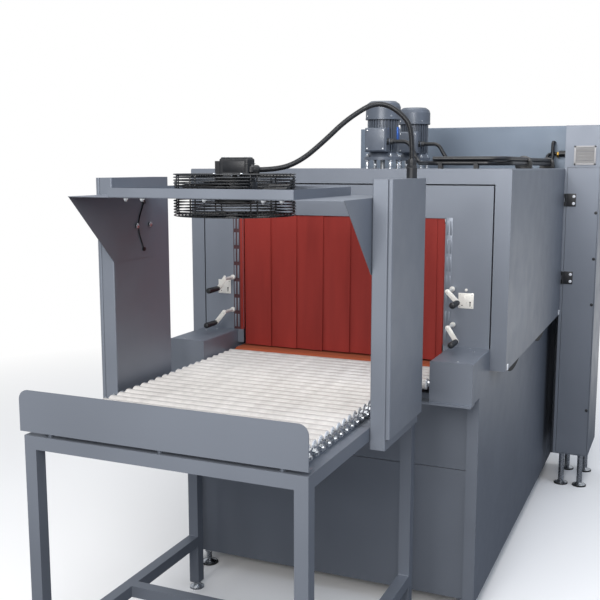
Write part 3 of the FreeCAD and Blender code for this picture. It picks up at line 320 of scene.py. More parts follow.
def black_moulding():
    """Injection-moulded black nylon of boxes, grips and hinges, with a spark-eroded grain."""
    return mottled("black_moulding", "#17191d", 0.45, 0.0, 30.0, 0.10, 1.2, 0.08)


def conduit_nylon():
    """Black nylon conduit: slightly waxy, so its highlights are long and soft."""
    return mottled("conduit_nylon", "#0e1014", 0.36, 0.0, 25.0, 0.10, 2.0, 0.04, 0.06)


def motor_enamel():
    """Grey alkyd enamel over the cast aluminium of the motors: thick, with a soft gloss."""
    return mottled("motor_enamel", "#59606b", 0.40, 0.15, 60.0, 0.08, 4.0, 0.10, 0.08, 0.2)


def lever_nickel():
    """Cast levers and pressed latch plates in a near-white satin nickel finish."""
    return mottled("lever_nickel", "#e9e6df", 0.32, 0.15, 15.0, 0.05, 1.5, 0.04)


def white_cap():
    """White nylon caps over the hinges' screws and at the hood's lower corners."""
    return mottled("white_cap", "#e4e6ea", 0.40, 0.0, 12.0, 0.04, 1.0, 0.03)


def pale_moulding():
    """Light grey ABS of the vent's frame, moulded with a fine matt grain."""
    return mottled("pale_moulding", "#b3b1b1", 0.5, 0.0, 30.0, 0.03, 1.2, 0.04)


def vent_moulding():
    """The same ABS on the vent's blades, in a darker grey than the frame and duller."""
    return mottled("vent_moulding", "#9a9897", 0.6, 0.0, 30.0, 0.05, 1.2, 0.04)


def brass():
    """Turned brass of the gland's lock nut, a little tarnished."""
    return mottled("brass", "#c39a4a", 0.30, 1.0, 8.0, 0.15, 0.8, 0.03)


def blue_plate():
    """Blue anodised aluminium of the bare rating plate on the motors."""
    return mottled("blue_plate", "#2f62b5", 0.35, 0.4, 20.0, 0.05, 0.8, 0.02)


def foot_rubber():
    """Moulded rubber under the feet: dull black with dust in its pores."""
    return mottled("foot_rubber", "#202122", 0.8, 0.0, 20.0, 0.2, 2.0, 0.15)


def dark_void():
    """Black felt-like shadow inside slots and sockets."""
    return mottled("dark_void", "#0b0b0c", 0.7, 0.0, 10.0, 0.1, 2.0, 0.02)


FINISHES = {
    "grey_paint": structured_powder_coat,
    "zinc": zinc_plate,
    "steel": turned_steel,
    "chamber_steel": galvanised_sheet,
    "motor_grey": motor_enamel,
    "white_pvc": roller_tube,
    "red_silicone": silicone_strip,
    "belt_cloth": belt_cloth,
    "black_wire": wire_coating,
    "black_blade": fan_steel,
    "black_housing": black_moulding,
    "black_hose": conduit_nylon,
}


def finish(maker):
    """The material that a maker function makes, made once."""
    return bpy.data.materials.get(maker.__name__) or maker()


# Modelling

def turn_to(axis):
    """Rotation that turns +Z to an axis."""
    return Z_AXIS.rotation_difference(Vector(axis)).to_matrix().to_4x4()


class Shape:
    """A mesh in the making, in millimetres from the hood; paint picks the material slot."""

    def __init__(self):
        self.bm = bmesh.new()
        self.paint = 0

    def _end(self, verts, matrix):
        faces = list({f for v in verts for f in v.link_faces})
        for face in faces:
            face.material_index = self.paint
        bmesh.ops.transform(self.bm, matrix=matrix, verts=verts)
        return faces

    def _bevel(self, edges, width, segments):
        bmesh.ops.bevel(self.bm, geom=edges, offset=width, offset_type="OFFSET", segments=segments,
                        affect="EDGES", profile=0.5, material=-1)

    def block(self, low, high, bevel=0.0, segments=2, matrix=Matrix.Identity(4)):
        low, high = Vector(low), Vector(high)
        verts = bmesh.ops.create_cube(self.bm, size=1.0)["verts"]
        size = high - low
        place = Matrix.Translation((low + high) / 2) @ Matrix.Diagonal((size.x, size.y, size.z, 1))
        self._end(verts, matrix @ place)
        if bevel:
            self._bevel(list({e for v in verts for e in v.link_edges}), bevel, segments)

    def rod(self, start, axis, radius, length, sides=24, bevel=0.0, tip=None):
        axis = Vector(axis).normalized()
        verts = bmesh.ops.create_cone(self.bm, cap_ends=True, cap_tris=False, segments=sides,
                                      radius1=radius, radius2=radius if tip is None else tip,
                                      depth=length)["verts"]
        rims = [e for e in {e for v in verts for e in v.link_edges}
                if abs(e.verts[0].co.z - e.verts[1].co.z) < length / 2]
        self._end(verts, Matrix.Translation(Vector(start) + axis * length / 2) @ turn_to(axis))
        if bevel:
            self._bevel(rims, bevel, 2)

    def lathe(self, profile, origin, axis=(0, 0, 1), steps=32):
        """Turned shape from (radius, height) points along an axis from origin."""
        verts = [self.bm.verts.new((r, 0, h)) for r, h in profile]
        edges = [self.bm.edges.new(pair) for pair in zip(verts, verts[1:])]
        spun = bmesh.ops.spin(self.bm, geom=verts + edges, cent=(0, 0, 0), axis=(0, 0, 1), dvec=(0, 0, 0),
                              angle=2 * math.pi, steps=steps, use_merge=True)
        rim = [g for g in spun["geom_last"] if isinstance(g, bmesh.types.BMVert)]
        made = self._linked(verts + rim)
        bmesh.ops.remove_doubles(self.bm, verts=made, dist=0.001)
        made = [v for v in made if v.is_valid]
        faces = self._end(made, Matrix.Translation(Vector(origin)) @ turn_to(axis))
        bmesh.ops.recalc_face_normals(self.bm, faces=faces)

    def trim(self, verts, place, away):
        """Cuts off the part of some vertices' shape that lies on one side of a plane."""
        geom = list(verts) + list({e for v in verts for e in v.link_edges}) + \
            list({f for v in verts for f in v.link_faces})
        cut = bmesh.ops.bisect_plane(self.bm, geom=geom, dist=0.001, plane_co=place, plane_no=away,
                                     clear_outer=True)
        rim = [g for g in cut["geom_cut"] if isinstance(g, bmesh.types.BMEdge)]
        bmesh.ops.holes_fill(self.bm, edges=rim)

    def _linked(self, seeds):
        """All vertices joined to the seeds."""
        seen = {v for v in seeds if v.is_valid}
        queue = list(seen)
        while queue:
            for edge in queue.pop().link_edges:
                for vert in edge.verts:
                    if vert not in seen:
                        seen.add(vert)
                        queue.append(vert)
        return list(seen)

    def hoop(self, centre, radius, wire, steps=56, sides=6, axis=(0, 0, 1)):
        """Closed ring of round wire."""
        made = bmesh.ops.create_circle(self.bm, segments=sides, radius=wire / 2)["verts"]
        stand = Matrix.Translation((radius, 0, 0)) @ Matrix.Rotation(math.pi / 2, 4, "X")
        bmesh.ops.transform(self.bm, matrix=stand, verts=made)
        edges = list({e for v in made for e in v.link_edges})
        bmesh.ops.spin(self.bm, geom=edges, cent=(0, 0, 0), axis=(0, 0, 1), dvec=(0, 0, 0),
                       angle=2 * math.pi, steps=steps, use_merge=True)
        verts = self._linked(made)
        faces = self._end(verts, Matrix.Translation(Vector(centre)) @ turn_to(axis))
        bmesh.ops.recalc_face_normals(self.bm, faces=faces)

    def sweep(self, path, radius, sides=10):
        """Round bar along points; radius is one value, or one for each point."""
        path = [Vector(p) for p in path]
        radii = radius if isinstance(radius, list) else [radius] * len(path)
        ring = bmesh.ops.create_circle(self.bm, segments=sides, radius=1.0)["verts"]
        local = {v: v.co.copy() for v in ring}
        edges = list({e for v in ring for e in v.link_edges})
        ends = [list(edges)]
        made = list(ring)
        turn = turn_to((path[1] - path[0]).normalized())
        heading = (path[1] - path[0]).normalized()
        for k, point in enumerate(path):
            ahead = (path[min(k + 1, len(path) - 1)] - path[max(k - 1, 0)]).normalized()
            turn = heading.rotation_difference(ahead).to_matrix().to_4x4() @ turn
            heading = ahead
            if k:
                grown = bmesh.ops.extrude_edge_only(self.bm, edges=edges)["geom"]
                fresh = [g for g in grown if isinstance(g, bmesh.types.BMVert)]
                edges = [g for g in grown if isinstance(g, bmesh.types.BMEdge)
                         and g.verts[0] in fresh and g.verts[1] in fresh]
                local = {v: next(local[e.other_vert(v)] for e in v.link_edges if e.other_vert(v) in local)
                         for v in fresh}
                made += fresh
            for vert, place in local.items():
                vert.co = point + turn @ (place * radii[k])
        ends.append(list(edges))
        for rim in ends:
            bmesh.ops.edgeloop_fill(self.bm, edges=rim)
        faces = self._end(made, Matrix.Identity(4))
        bmesh.ops.recalc_face_normals(self.bm, faces=faces)

    def nut(self, start, axis, across, thick):
        """Hexagon nut with chamfered corners."""
        self.rod(start, axis, across / 2 / math.cos(math.pi / 6), thick, 6, thick * 0.12)

    def screw(self, start, axis, radius, height):
        """Button head with a hexagon socket, which takes the next material slot; the socket is a thin dark disc on
        the head, painted shade inside the socket.
        """
        self.lathe([(radius, 0), (radius, height * 0.35), (radius * 0.82, height * 0.8),
                    (radius * 0.5, height), (0, height)], start, axis, 16)
        self.paint += 1
        self.rod(Vector(start) + Vector(axis) * (height - 0.3), axis, radius * 0.42, 0.5, 6)
        self.paint -= 1

    def done(self, name, makers, body="root", slot=None, replaces=(), smooth=35.0):
        """Places the finished mesh in the frame, gives it its finishes and lets it ride."""
        bmesh.ops.transform(self.bm, matrix=TO_FRAME, verts=self.bm.verts)
        mesh = bpy.data.meshes.new(name)
        self.bm.to_mesh(mesh)
        self.bm.free()
        for maker in makers:
            mesh.materials.append(finish(maker))
        mesh.shade_smooth()
        mesh.set_sharp_from_angle(angle=math.radians(smooth))
        piece = bpy.data.objects.new(name, mesh)
        bpy.context.scene.collection.objects.link(piece)
        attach(piece, body)
        if replaces:
            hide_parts(*replaces)
        return piece


def around(centre, radius, count, start=0.0):
    """Points round a vertical axis, with their angles."""
    for k in range(count):
        angle = start + 2 * math.pi * k / count
        out = Vector((math.cos(angle), math.sin(angle), 0))
        yield Vector(centre) + out * radius, angle


# Settings

class TunnelFanSettings(bpy.types.PropertyGroup):
    ring_pitch: FloatProperty(name="Ring pitch", description="Height from one guard ring to the next",
                              default=0.0088, min=0.006, max=0.03, unit="LENGTH")
    wire: FloatProperty(name="Wire", description="Thickness of the guard's wire", default=0.0036,
                        min=0.001, max=0.006, unit="LENGTH")


class TunnelHoseSettings(bpy.types.PropertyGroup):
    diameter: FloatProperty(name="Hose diameter", description="Outer diameter of the fan's hose",
                            default=0.0165, min=0.01, max=0.03, unit="LENGTH")
    rib_pitch: FloatProperty(name="Rib pitch", description="Length of one rib of the hose",
                             default=0.0036, min=0.002, max=0.01, unit="LENGTH")


class TunnelCurtainSettings(bpy.types.PropertyGroup):
    width: FloatProperty(name="Strip width", description="Width of one curtain strip", default=0.1195,
                         min=0.05, max=0.4, unit="LENGTH")
    overlap: FloatProperty(name="Overlap", description="Overlap of neighbouring strips", default=0.006,
                           min=0.0, max=0.03, unit="LENGTH")
    wave: FloatProperty(name="Wave", description="How far a strip bows out of its plane", default=0.003,
                        min=0.0, max=0.01, unit="LENGTH")


class TunnelStageSettings(bpy.types.PropertyGroup):
    floor_colour: FloatVectorProperty(name="Floor", description="Colour of the floor", subtype="COLOR",
                                      size=4, default=linear("#f4f4f4"), min=0.0, max=1.0)
    lamp_power: FloatProperty(name="Lamp power", description="Power of the main lamp in watts",
                              default=260.0, min=0.0, unit="POWER")


# Operators

class TUNNEL_OT_stage(bpy.types.Operator):
    """Camera, floor, lamps and white surroundings"""
    bl_idname = "tunnel.stage"
    bl_label = "Stage"

    def execute(self, context):
        self.camera(context)
        self.floor(context)
        self.lamps(context)
        self.world(context)
        context.scene.view_settings.view_transform = "Standard"
        return {"FINISHED"}

    def camera(self, context):
        lens = bpy.data.cameras.new("camera")
        lens.lens = CAMERA_LENS
        lens.sensor_width = 36.0
        lens.clip_end = 60.0
        camera = bpy.data.objects.new("camera", lens)
        camera.location = TO_FRAME @ CAMERA_PLACE
        camera.rotation_euler = (math.pi / 2 - CAMERA_TILT, 0.0, CAMERA_TURN)
        context.scene.collection.objects.link(camera)
        context.scene.camera = camera

    def floor(self, context):
        """Pale floor that fades to white well away from the machine, where only the camera and
        mirror reflections see the fade."""
        bm = bmesh.new()
        bmesh.ops.create_grid(bm, x_segments=1, y_segments=1, size=20.0)
        mesh = bpy.data.meshes.new("floor")
        bm.to_mesh(mesh)
        bm.free()
        made = bpy.data.materials.new("pale_floor")
        made.use_nodes = True
        tree = made.node_tree
        tree.nodes.remove(tree.nodes["Principled BSDF"])
        path = add(tree, "ShaderNodeLightPath")
        colour = tuple(context.scene.tunnel_stage.floor_colour)
        shown = blend_colours(tree, path.outputs["Is Camera Ray"], linear("#6f7278"), colour)
        matt = add(tree, "ShaderNodeBsdfDiffuse", {"Color": shown}).outputs[0]
        white = add(tree, "ShaderNodeEmission", {"Color": (1, 1, 1, 1), "Strength": 1.0}).outputs[0]
        where = add(tree, "ShaderNodeTexCoord").outputs["Object"]
        distance = add(tree, "ShaderNodeVectorMath", {0: where}, operation="LENGTH").outputs["Value"]
        away = spread(tree, distance, 0.0, 1.0, 2.2, 5.0)
        seen = add(tree, "ShaderNodeMath", {0: path.outputs["Is Camera Ray"],
                                            1: path.outputs["Is Glossy Ray"]},
                   operation="MAXIMUM").outputs[0]
        factor = add(tree, "ShaderNodeMath", {0: away, 1: seen}, operation="MULTIPLY").outputs[0]
        mixed = add(tree, "ShaderNodeMixShader", {0: factor, 1: matt, 2: white}).outputs[0]
        tree.links.new(mixed, tree.nodes["Material Output"].inputs["Surface"])
        mesh.materials.append(made)
        floor = bpy.data.objects.new("floor", mesh)
        context.scene.collection.objects.link(floor)

    def lamps(self, context):
        """Three large soft boxes: from the front, from the right, a little bluer, and above."""
        power = context.scene.tunnel_stage.lamp_power
        for name, place, aim, size, share, colour in (
                ("lamp_front", (0.4, -4.6, 3.4), (0, -0.4, 1.0), 3.0, 1.0, "#fffdfb"),
                ("lamp_right", (4.2, -0.6, 3.8), (0.3, 0.2, 1.4), 2.6, 0.2, "#cfe2ff"),
                ("lamp_top", (0.0, 0.4, 5.2), (0, 0, 1.0), 4.0, 0.4, "#ffffff")):
            lamp = bpy.data.lights.new(name, "AREA")
            lamp.energy = power * share
            lamp.size = size
            lamp.color = linear(colour)[:3]
            holder = bpy.data.objects.new(name, lamp)
            holder.location = place
            holder.rotation_euler = (Vector(aim) - Vector(place)).to_track_quat("-Z", "Y").to_euler()
            context.scene.collection.objects.link(holder)

    def world(self, context):
        world = bpy.data.worlds.new("surroundings")
        world.use_nodes = True
        tree = world.node_tree
        lit = tree.nodes["Background"]
        lit.inputs["Color"].default_value = linear("#e8edf5")
        lit.inputs["Strength"].default_value = 0.55
        white = add(tree, "ShaderNodeBackground", {"Color": (1, 1, 1, 1), "Strength": 1.0}).outputs[0]
        path = add(tree, "ShaderNodeLightPath")
        seen = add(tree, "ShaderNodeMath", {0: path.outputs["Is Camera Ray"],
                                            1: path.outputs["Is Transmission Ray"]},
                   operation="MAXIMUM").outputs[0]
        mixed = add(tree, "ShaderNodeMixShader", {0: seen, 1: lit.outputs[0], 2: white}).outputs[0]
        tree.links.new(mixed, tree.nodes["World Output"].inputs["Surface"])
        context.scene.world = world


class TUNNEL_OT_finishes(bpy.types.Operator):
    """Gives every node of the frame the finish of its material slot"""
    bl_idname = "tunnel.finishes"
    bl_label = "Frame finishes"

    def execute(self, context):
        for sub in frame["record"]["subparts"]:
            node = frame["nodes"][sub["node"]]
            node.data.materials.clear()
            node.data.materials.append(finish(FINISHES[sub["material_slot"]]))
        return {"FINISHED"}


class TUNNEL_OT_hose(bpy.types.Operator):
    """The cooling fan's ribbed hose and its end fittings"""
    bl_idname = "tunnel.hose"
    bl_label = "Fan hose"

    def execute(self, context):
        props = context.scene.tunnel_hose
        path = self.centreline()
        radius = props.diameter / 2 / MM
        pitch = props.rib_pitch / MM
        even = self.evenly(path, pitch / 4)
        radii = [radius - (0.0, 0.35, 0.9, 0.35)[k % 4] for k in range(len(even))]
        hose = Shape()
        hose.sweep(even, radii, 16)
        fittings = Shape()
        self.fitting(fittings, even[0], (even[1] - even[0]).normalized(), radius)
        self.fitting(fittings, even[-1], (even[-2] - even[-1]).normalized(), radius)
        fittings.lathe([(8.6, 3), (13.4, 3), (13.6, -10), (16.6, -13), (16.6, -45), (14, -45)], even[-1],
                       steps=28)
        ends = fittings.done("hose_fittings", [black_moulding], slot="black_housing")
        piece = hose.done("fan_hose_ribbed", [conduit_nylon], slot="black_hose", replaces=["fan_hose"],
                          smooth=60)
        return {"FINISHED"}

    def centreline(self):
        """Points of the route's smooth curve, in millimetres."""
        curve = bpy.data.curves.new("hose_route", "CURVE")
        curve.dimensions = "3D"
        curve.resolution_u = 24
        spline = curve.splines.new("NURBS")
        spline.points.add(len(HOSE_POINTS) - 1)
        for point, place in zip(spline.points, HOSE_POINTS):
            point.co = (*place, 1.0)
        spline.order_u = 3
        spline.use_endpoint_u = True
        holder = bpy.data.objects.new("hose_route", curve)
        line = bpy.data.meshes.new_from_object(holder)
        points = [v.co.copy() for v in line.vertices]
        bpy.data.objects.remove(holder)
        bpy.data.meshes.remove(line)
        bpy.data.curves.remove(curve)
        return points

    def evenly(self, path, step):
        """The same line with its points a step apart."""
        even = [path[0]]
        left = step
        for before, after in zip(path, path[1:]):
            run = (after - before).length
            heading = (after - before).normalized() if run else Vector()
            done = 0.0
            while run - done >= left:
                done += left
                even.append(before + heading * done)
                left = step
            left -= run - done
        even[-1] = path[-1]
        return even

    def fitting(self, shape, end, heading, radius):
        """Hexagon body with a knurled sleeve that grips the hose's end."""
        shape.nut(end - heading * 16, heading, 27, 12)
        shape.lathe([(radius, -4), (13.2, -4), (13.2, 12), (11.5, 15), (radius + 0.2, 16), (radius, 16)],
                    end, heading, 24)
        for k in range(18):
            angle = 2 * math.pi * k / 18
            out = turn_to(heading) @ Vector((math.cos(angle), math.sin(angle), 0)) * 13.2
            shape.rod(end + out - heading * 3, heading, 0.9, 14, 6)


class TUNNEL_OT_fan_guard(bpy.types.Operator):
    """Dense wire cage of the cooling fan, with its motor bracket and clamps"""
    bl_idname = "tunnel.fan_guard"
    bl_label = "Fan guard"

    RADIUS = 188.0
    FACE_FIRST = 58.0
    FACE_PITCH = 10.5

    def execute(self, context):
        props = context.scene.tunnel_fan
        low, high = span("fan_guard")
        centre = pivot("fan_rotor_spin")
        wire = props.wire / MM
        radius = self.RADIUS - wire / 2
        z0, z1 = low.z + wire / 2, high.z - wire / 2
        cage = Shape()
        count = round((z1 - z0) / (props.ring_pitch / MM))
        for k in range(count + 1):
            z = z0 + (z1 - z0) * k / count
            cage.hoop((centre.x, centre.y, z), radius, wire, 64, 6)
        face = self.FACE_FIRST
        while face < radius - 6:
            for z in (z0, z1):
                cage.hoop((centre.x, centre.y, z), face, wire * 0.9, 48, 6)
            face += self.FACE_PITCH
        inner = radius - wire
        for k in range(6):
            for turn in (-0.055, 0.055):
                angle = math.radians(60 * k + 15) + turn
                out = Vector((math.cos(angle), math.sin(angle), 0))
                base = Vector((centre.x, centre.y, 0))
                cage.sweep([base + out * 30 + Z_AXIS * (z0 + wire),
                            base + out * (inner - 5) + Z_AXIS * (z0 + wire),
                            base + out * (inner - 1) + Z_AXIS * (z0 + wire + 1.5),
                            base + out * inner + Z_AXIS * (z0 + wire + 5),
                            base + out * inner + Z_AXIS * (z1 - wire - 5),
                            base + out * (inner - 1) + Z_AXIS * (z1 - wire - 1.5),
                            base + out * (inner - 5) + Z_AXIS * (z1 - wire),
                            base + out * 60 + Z_AXIS * (z1 - wire)], wire * 0.62, 6)
        self.bracket(cage, centre, z0, z1, radius)
        cage.done("fan_guard_cage", [wire_coating, zinc_plate, dark_void], slot="black_wire",
                  replaces=["fan_guard"])
        return {"FINISHED"}

    def bracket(self, cage, centre, z0, z1, radius):
        """Motor plate, four flat arms, tray lugs and their bolts."""
        cage.lathe([(12, z1 - 3), (74, z1 - 3), (76, z1 - 1), (74, z1 + 1), (12, z1 + 1)],
                   (centre.x, centre.y, 0), steps=40)
        cage.lathe([(0, z0 - 1), (27, z0 - 1), (31, z0 + 1), (27, z0 + 3), (0, z0 + 3)],
                   (centre.x, centre.y, 0), steps=32)
        tray = CANOPY_TOP + 2.0
        middle = Matrix.Translation((centre.x, centre.y, 0))
        for k in range(4):
            turn = middle @ Matrix.Rotation(math.radians(45 + 90 * k), 4, "Z")
            cage.block((70, -9, z1 - 3.5), (radius - 2, 9, z1 - 1.5), 0.6, 2, turn)
            cage.block((radius - 3, -9, tray), (radius + 1.5, 9, z1 - 20), 0.6, 2, turn)
            cage.block((radius - 3, -9, tray), (radius + 18, 9, tray + 2), 0.6, 2, turn)
            cage.paint = 1
            cage.nut(turn @ Vector((radius + 11, 0, tray + 2)), Z_AXIS, 10, 5)
            cage.screw(turn @ Vector((66, 0, z1 + 1)), Z_AXIS, 5, 3)
            cage.paint = 0


class TUNNEL_OT_fan_box(bpy.types.Operator):
    """Lid, screws and rating-plate blank of the cooling fan's terminal box, and a band round the box"""
    bl_idname = "tunnel.fan_box"
    bl_label = "Fan box"

    def execute(self, context):
        low, high = span("fan_motor_box")
        right = high.x if high.x < 20 else 13.0
        left = low.x + 16
        front, back = low.y, high.y
        trim = Shape()
        trim.block((left + 4, front + 5, high.z - 0.5), (right - 5, back - 5, high.z + 3.0), 2.0, 3)
        trim.block((left + 14, front - 1.2, high.z - 40), (right - 12, front + 0.5, high.z - 9), 0.5)
        trim.block((left - 1, front - 0.6, high.z - 17), (right + 0.6, back + 0.6, high.z - 15.2), 0.3)
        trim.paint = 1
        for x in (left + 12, right - 13):
            for y in (front + 10, back - 10):
                trim.screw((x, y, high.z + 2.9), Z_AXIS, 3.4, 1.8)
        trim.done("fan_box_lid", [black_moulding, zinc_plate, dark_void], slot="black_housing")
        return {"FINISHED"}


class TUNNEL_OT_curtains(bpy.types.Operator):
    """Strip curtains of both ends, with their rods and clamp bars"""
    bl_idname = "tunnel.curtains"
    bl_label = "Strip curtains"

    BELT_GAP = 5.0
    THICK = 1.6
    SLANT = 4.4

    def execute(self, context):
        for node, outward in (("exit_curtain", -1), ("entry_curtain", 1)):
            self.rail(node)
            self.strips(context.scene.tunnel_curtain, node, outward)
        return {"FINISHED"}

    def rail(self, node):
        low, high = span(node)
        pin = pivot(node + "_swing")
        rail = Shape()
        rail.rod((low.x, pin.y, pin.z), X_AXIS, 6.0, high.x - low.x, 20, 0.8)
        rail.block((-CURTAIN_HALF, pin.y - 4.5, pin.z - 22), (CURTAIN_HALF, pin.y + 4.5, pin.z - 3), 1.0)
        rail.done(node + "_rail", [zinc_plate], node, "zinc")

    def strips(self, props, node, outward):
        """Full strips from the left, each with its right edge over the next, and a narrow last one."""
        low, high = span(node)
        pin = pivot(node + "_swing")
        wide, lap = props.width / MM, props.overlap / MM
        count = math.ceil((2 * CURTAIN_HALF - lap) / (wide - lap))
        top, bottom = pin.z + 9.0, BELT_TOP + self.BELT_GAP
        wave = props.wave / MM
        curtain = Shape()
        for k in range(count):
            left = -CURTAIN_HALF + k * (wide - lap)
            strip = min(wide, CURTAIN_HALF - left)
            lift = random.uniform(0.0, 4.0)
            bow = random.uniform(-1.0, 0.2) * wave
            skew = random.uniform(-2.5, 2.5)
            verts = bmesh.ops.create_grid(curtain.bm, x_segments=10, y_segments=36, size=0.5)["verts"]
            faces = list({f for v in verts for f in v.link_faces})
            for vert in verts:
                u, v = vert.co.x, vert.co.y + 0.5
                drop = 1 - v
                y = 8.0 + self.SLANT * (1 + drop) * u * strip / wide
                y += bow * math.sin(math.pi * drop) * math.cos(math.pi * u)
                y += 0.6 * noise.noise(Vector((k * 3.1, u * 2, v * 4))) * drop
                x = min(left + (u + 0.5) * strip + skew * drop, CURTAIN_HALF)
                vert.co = (-outward * max(x, -CURTAIN_HALF), pin.y + outward * y,
                           bottom + lift + (top - bottom - lift) * v)
            curtain.bm.normal_update()
            bmesh.ops.solidify(curtain.bm, geom=faces, thickness=self.THICK)
            bmesh.ops.recalc_face_normals(curtain.bm, faces=list({f for v in curtain._linked(verts)
                                                                  for f in v.link_faces}))
        piece = curtain.done(node + "_strips", [silicone_strip], node, "red_silicone", [node], 50)


class TUNNEL_OT_end_panels(bpy.types.Operator):
    """Slotted edge bars, red side seals, latch plates and fittings of the hood's end panels"""
    bl_idname = "tunnel.end_panels"
    bl_label = "End panel fittings"

    WINDOW_FIRST = 993.0
    WINDOW_PITCH = 67.0
    WINDOW_HIGH = 15.0
    BAR_HALF = 3.6

    def execute(self, context):
        for end, out, name in ((0.0, -1, "front"), (HOOD_LONG, 1, "rear")):
            self.bars(end, out, name)
            self.seals(end, out, name)
            self.latches(end, out, name)
        return {"FINISHED"}

    def bars(self, end, out, name):
        """Dark backing of each edge strip, with two columns of folded tongues between its windows."""
        strips = Shape()
        for side, columns, edge, base in ((-1, (439.0, 453.0), 460.5, 0), (1, (426.0, 439.0), 445.0, 1)):
            y0, y1 = sorted((end + out * 0.1, end + out * 1.0))
            lip = min(columns) - 8.0
            for paint, near, far in ((base, lip, edge), (2, 418.3, lip)):
                x0, x1 = sorted((side * near, side * far))
                strips.paint = paint
                if x1 - x0 > 1.0:
                    strips.block((x0, y0, 990.0), (x1, y1, OPENING_TOP + 3), 0.3)
            strips.paint = 1
            y0, y1 = sorted((end + out * 0.8, end + out * 2.6))
            z = self.WINDOW_FIRST + self.WINDOW_HIGH / 2
            while z < OPENING_TOP:
                high = min(z + self.WINDOW_PITCH - self.WINDOW_HIGH, OPENING_TOP + 3)
                for x in columns:
                    strips.block((side * x - self.BAR_HALF, y0, z), (side * x + self.BAR_HALF, y1, high), 0.9)
                z += self.WINDOW_PITCH
        strips.done("edge_strips_" + name, [maroon_gasket, structured_powder_coat, silicone_strip],
                    slot="grey_paint")

    def seals(self, end, out, name):
        """Red silicone seals beside the curtain."""
        seals = Shape()
        for side in (-1, 1):
            y0, y1 = sorted((end - out * 3.0, end - out * 5.6))
            x0, x1 = sorted((side * 414.8, side * 443.0))
            seals.block((x0, y0, 992), (x1, y1, 1442), 0.6)
        seals.done("side_seals_" + name, [silicone_strip], slot="red_silicone")

    def latches(self, end, out, name):
        """Square plate with a keyhole and a sliding bolt, under a push button."""
        plates = Shape()
        for x, z in ((501.5, 1163.0), (-502.5, 1163.5)):
            def at(dx, dz, depth):
                return Vector((x + dx, end + out * depth, z + dz))
            def slab(x0, x1, z0, z1, d0, d1, bevel):
                a, b = at(x0, z0, d0), at(x1, z1, d1)
                plates.block([min(p) for p in zip(a, b)], [max(p) for p in zip(a, b)], bevel)
            plates.paint = 0
            slab(-28.5, 28.5, -28.5, 28.5, 0.0, 2.6, 1.0)
            for dx in (-22, 22):
                for dz in (-22, 22):
                    plates.screw(at(dx, dz, 2.5), Y_AXIS * out, 2.6, 1.2)
            slab(-8, -3, -2, 16, 2.4, 5.0, 0.8)
            plates.lathe([(5.2, 0), (5.2, 3.5), (4.2, 4.8), (0, 5.2)], at(0, 40, 0), Y_AXIS * out, 20)
            # The keyhole and the small slot are thin dark plates on the face: painted shade inside them.
            plates.paint = 1
            slab(14, 17, -20, -7, 2.3, 2.9, 0.0)
            plates.rod(at(15.5, -5, 2.3), Y_AXIS * out, 3.0, 0.6, 16)
            slab(-17, -12, -19, -16, 2.3, 2.9, 0.0)
        plates.done("latch_plates_" + name, [lever_nickel, dark_void], slot="zinc")


class TUNNEL_OT_levers(bpy.types.Operator):
    """Flat damper levers with their black grips"""
    bl_idname = "tunnel.levers"
    bl_label = "Damper levers"

    def execute(self, context):
        for name, (dx, dz) in LEVER_ARMS.items():
            self.arm(name, dx, dz)
            self.grip(name, dx, dz)
        return {"FINISHED"}

    ARM_Y = -75.0
    ARM_THICK = 5.0
    INNER_EDGE = 444.0

    def arm(self, name, dx, dz):
        """Stem with its collar, flat arm with round ends, and the shutter disc inside the panel."""
        pin = pivot(name + "_turn")
        side = 1 if dx > 0 else -1
        arm = Shape()
        flat = Matrix.Translation(pin) @ Matrix.Rotation(-math.atan2(dz, dx), 4, "Y")
        tip = self.ARM_Y - self.ARM_THICK
        arm.block((0, tip, -9.0), (math.hypot(dx, dz), self.ARM_Y, 9.0), 1.0, 2, flat)
        for x, z in ((0, 0), (dx, dz)):
            arm.rod(pin + Vector((x, self.ARM_Y - 0.01, z)), -Y_AXIS, 9.0, self.ARM_THICK - 0.02, 28, 1.0)
        arm.lathe([(0, -20), (6.4, -20), (6.4, 1), (10, 1), (10, 8.5), (8.5, 11), (6.4, 11), (6.4, 72),
                   (8.0, 74.9), (0, 74.9)], pin, -Y_AXIS, 24)
        arm.nut(pin + Vector((0, tip, 0)), -Y_AXIS, 10, 4)
        before = set(arm.bm.verts)
        arm.rod(pin + Vector((side * 26, 17, 0)), Y_AXIS, 42.0, 3.0, 48, 0.4)
        disc = [v for v in arm.bm.verts if v not in before]
        arm.trim(disc, (side * self.INNER_EDGE, 0, 0), (-side, 0, 0))
        arm.done(name + "_arm", [lever_nickel], name, "zinc", [name])

    def grip(self, name, dx, dz):
        """Ribbed tapered grip with a domed end."""
        root = pivot(name + "_turn") + Vector((dx, self.ARM_Y - self.ARM_THICK, dz))
        grip = Shape()
        profile = [(0, 0), (8.2, 0), (9.4, 3)]
        for k in range(7):
            h = 10 + k * 8
            profile += [(9.8 + 0.16 * k, h), (10.4 + 0.16 * k, h + 2.4), (9.8 + 0.16 * k, h + 4.8)]
        profile += [(11.5, 70), (11.5, 77), (9.6, 82), (5.5, 84), (0, 84)]
        grip.lathe(profile, root, -Y_AXIS, 28)
        grip.done(name + "_grip", [black_moulding], name, "black_housing")


class TUNNEL_OT_rollers(bpy.types.Operator):
    """Bearing covers in the ends of every free roller"""
    bl_idname = "tunnel.rollers"
    bl_label = "Roller ends"

    def execute(self, context):
        for node in frame["nodes"]:
            if "_roller_" not in node:
                continue
            low, high = span(node)
            middle = (low + high) / 2
            ends = Shape()
            for x, axis in ((low.x, -X_AXIS), (high.x, X_AXIS)):
                start = Vector((x, middle.y, middle.z))
                ends.lathe([(6.8, -3), (6.8, 0.9), (9.0, 1.2), (9.4, 0.6), (14.5, 0.6), (15.0, 1.3),
                            (18.2, 1.1), (19.2, 0.1), (19.2, -0.5)], start, axis, 28)
            ends.done(node + "_ends", [white_cap], node, "white_pvc")
        return {"FINISHED"}


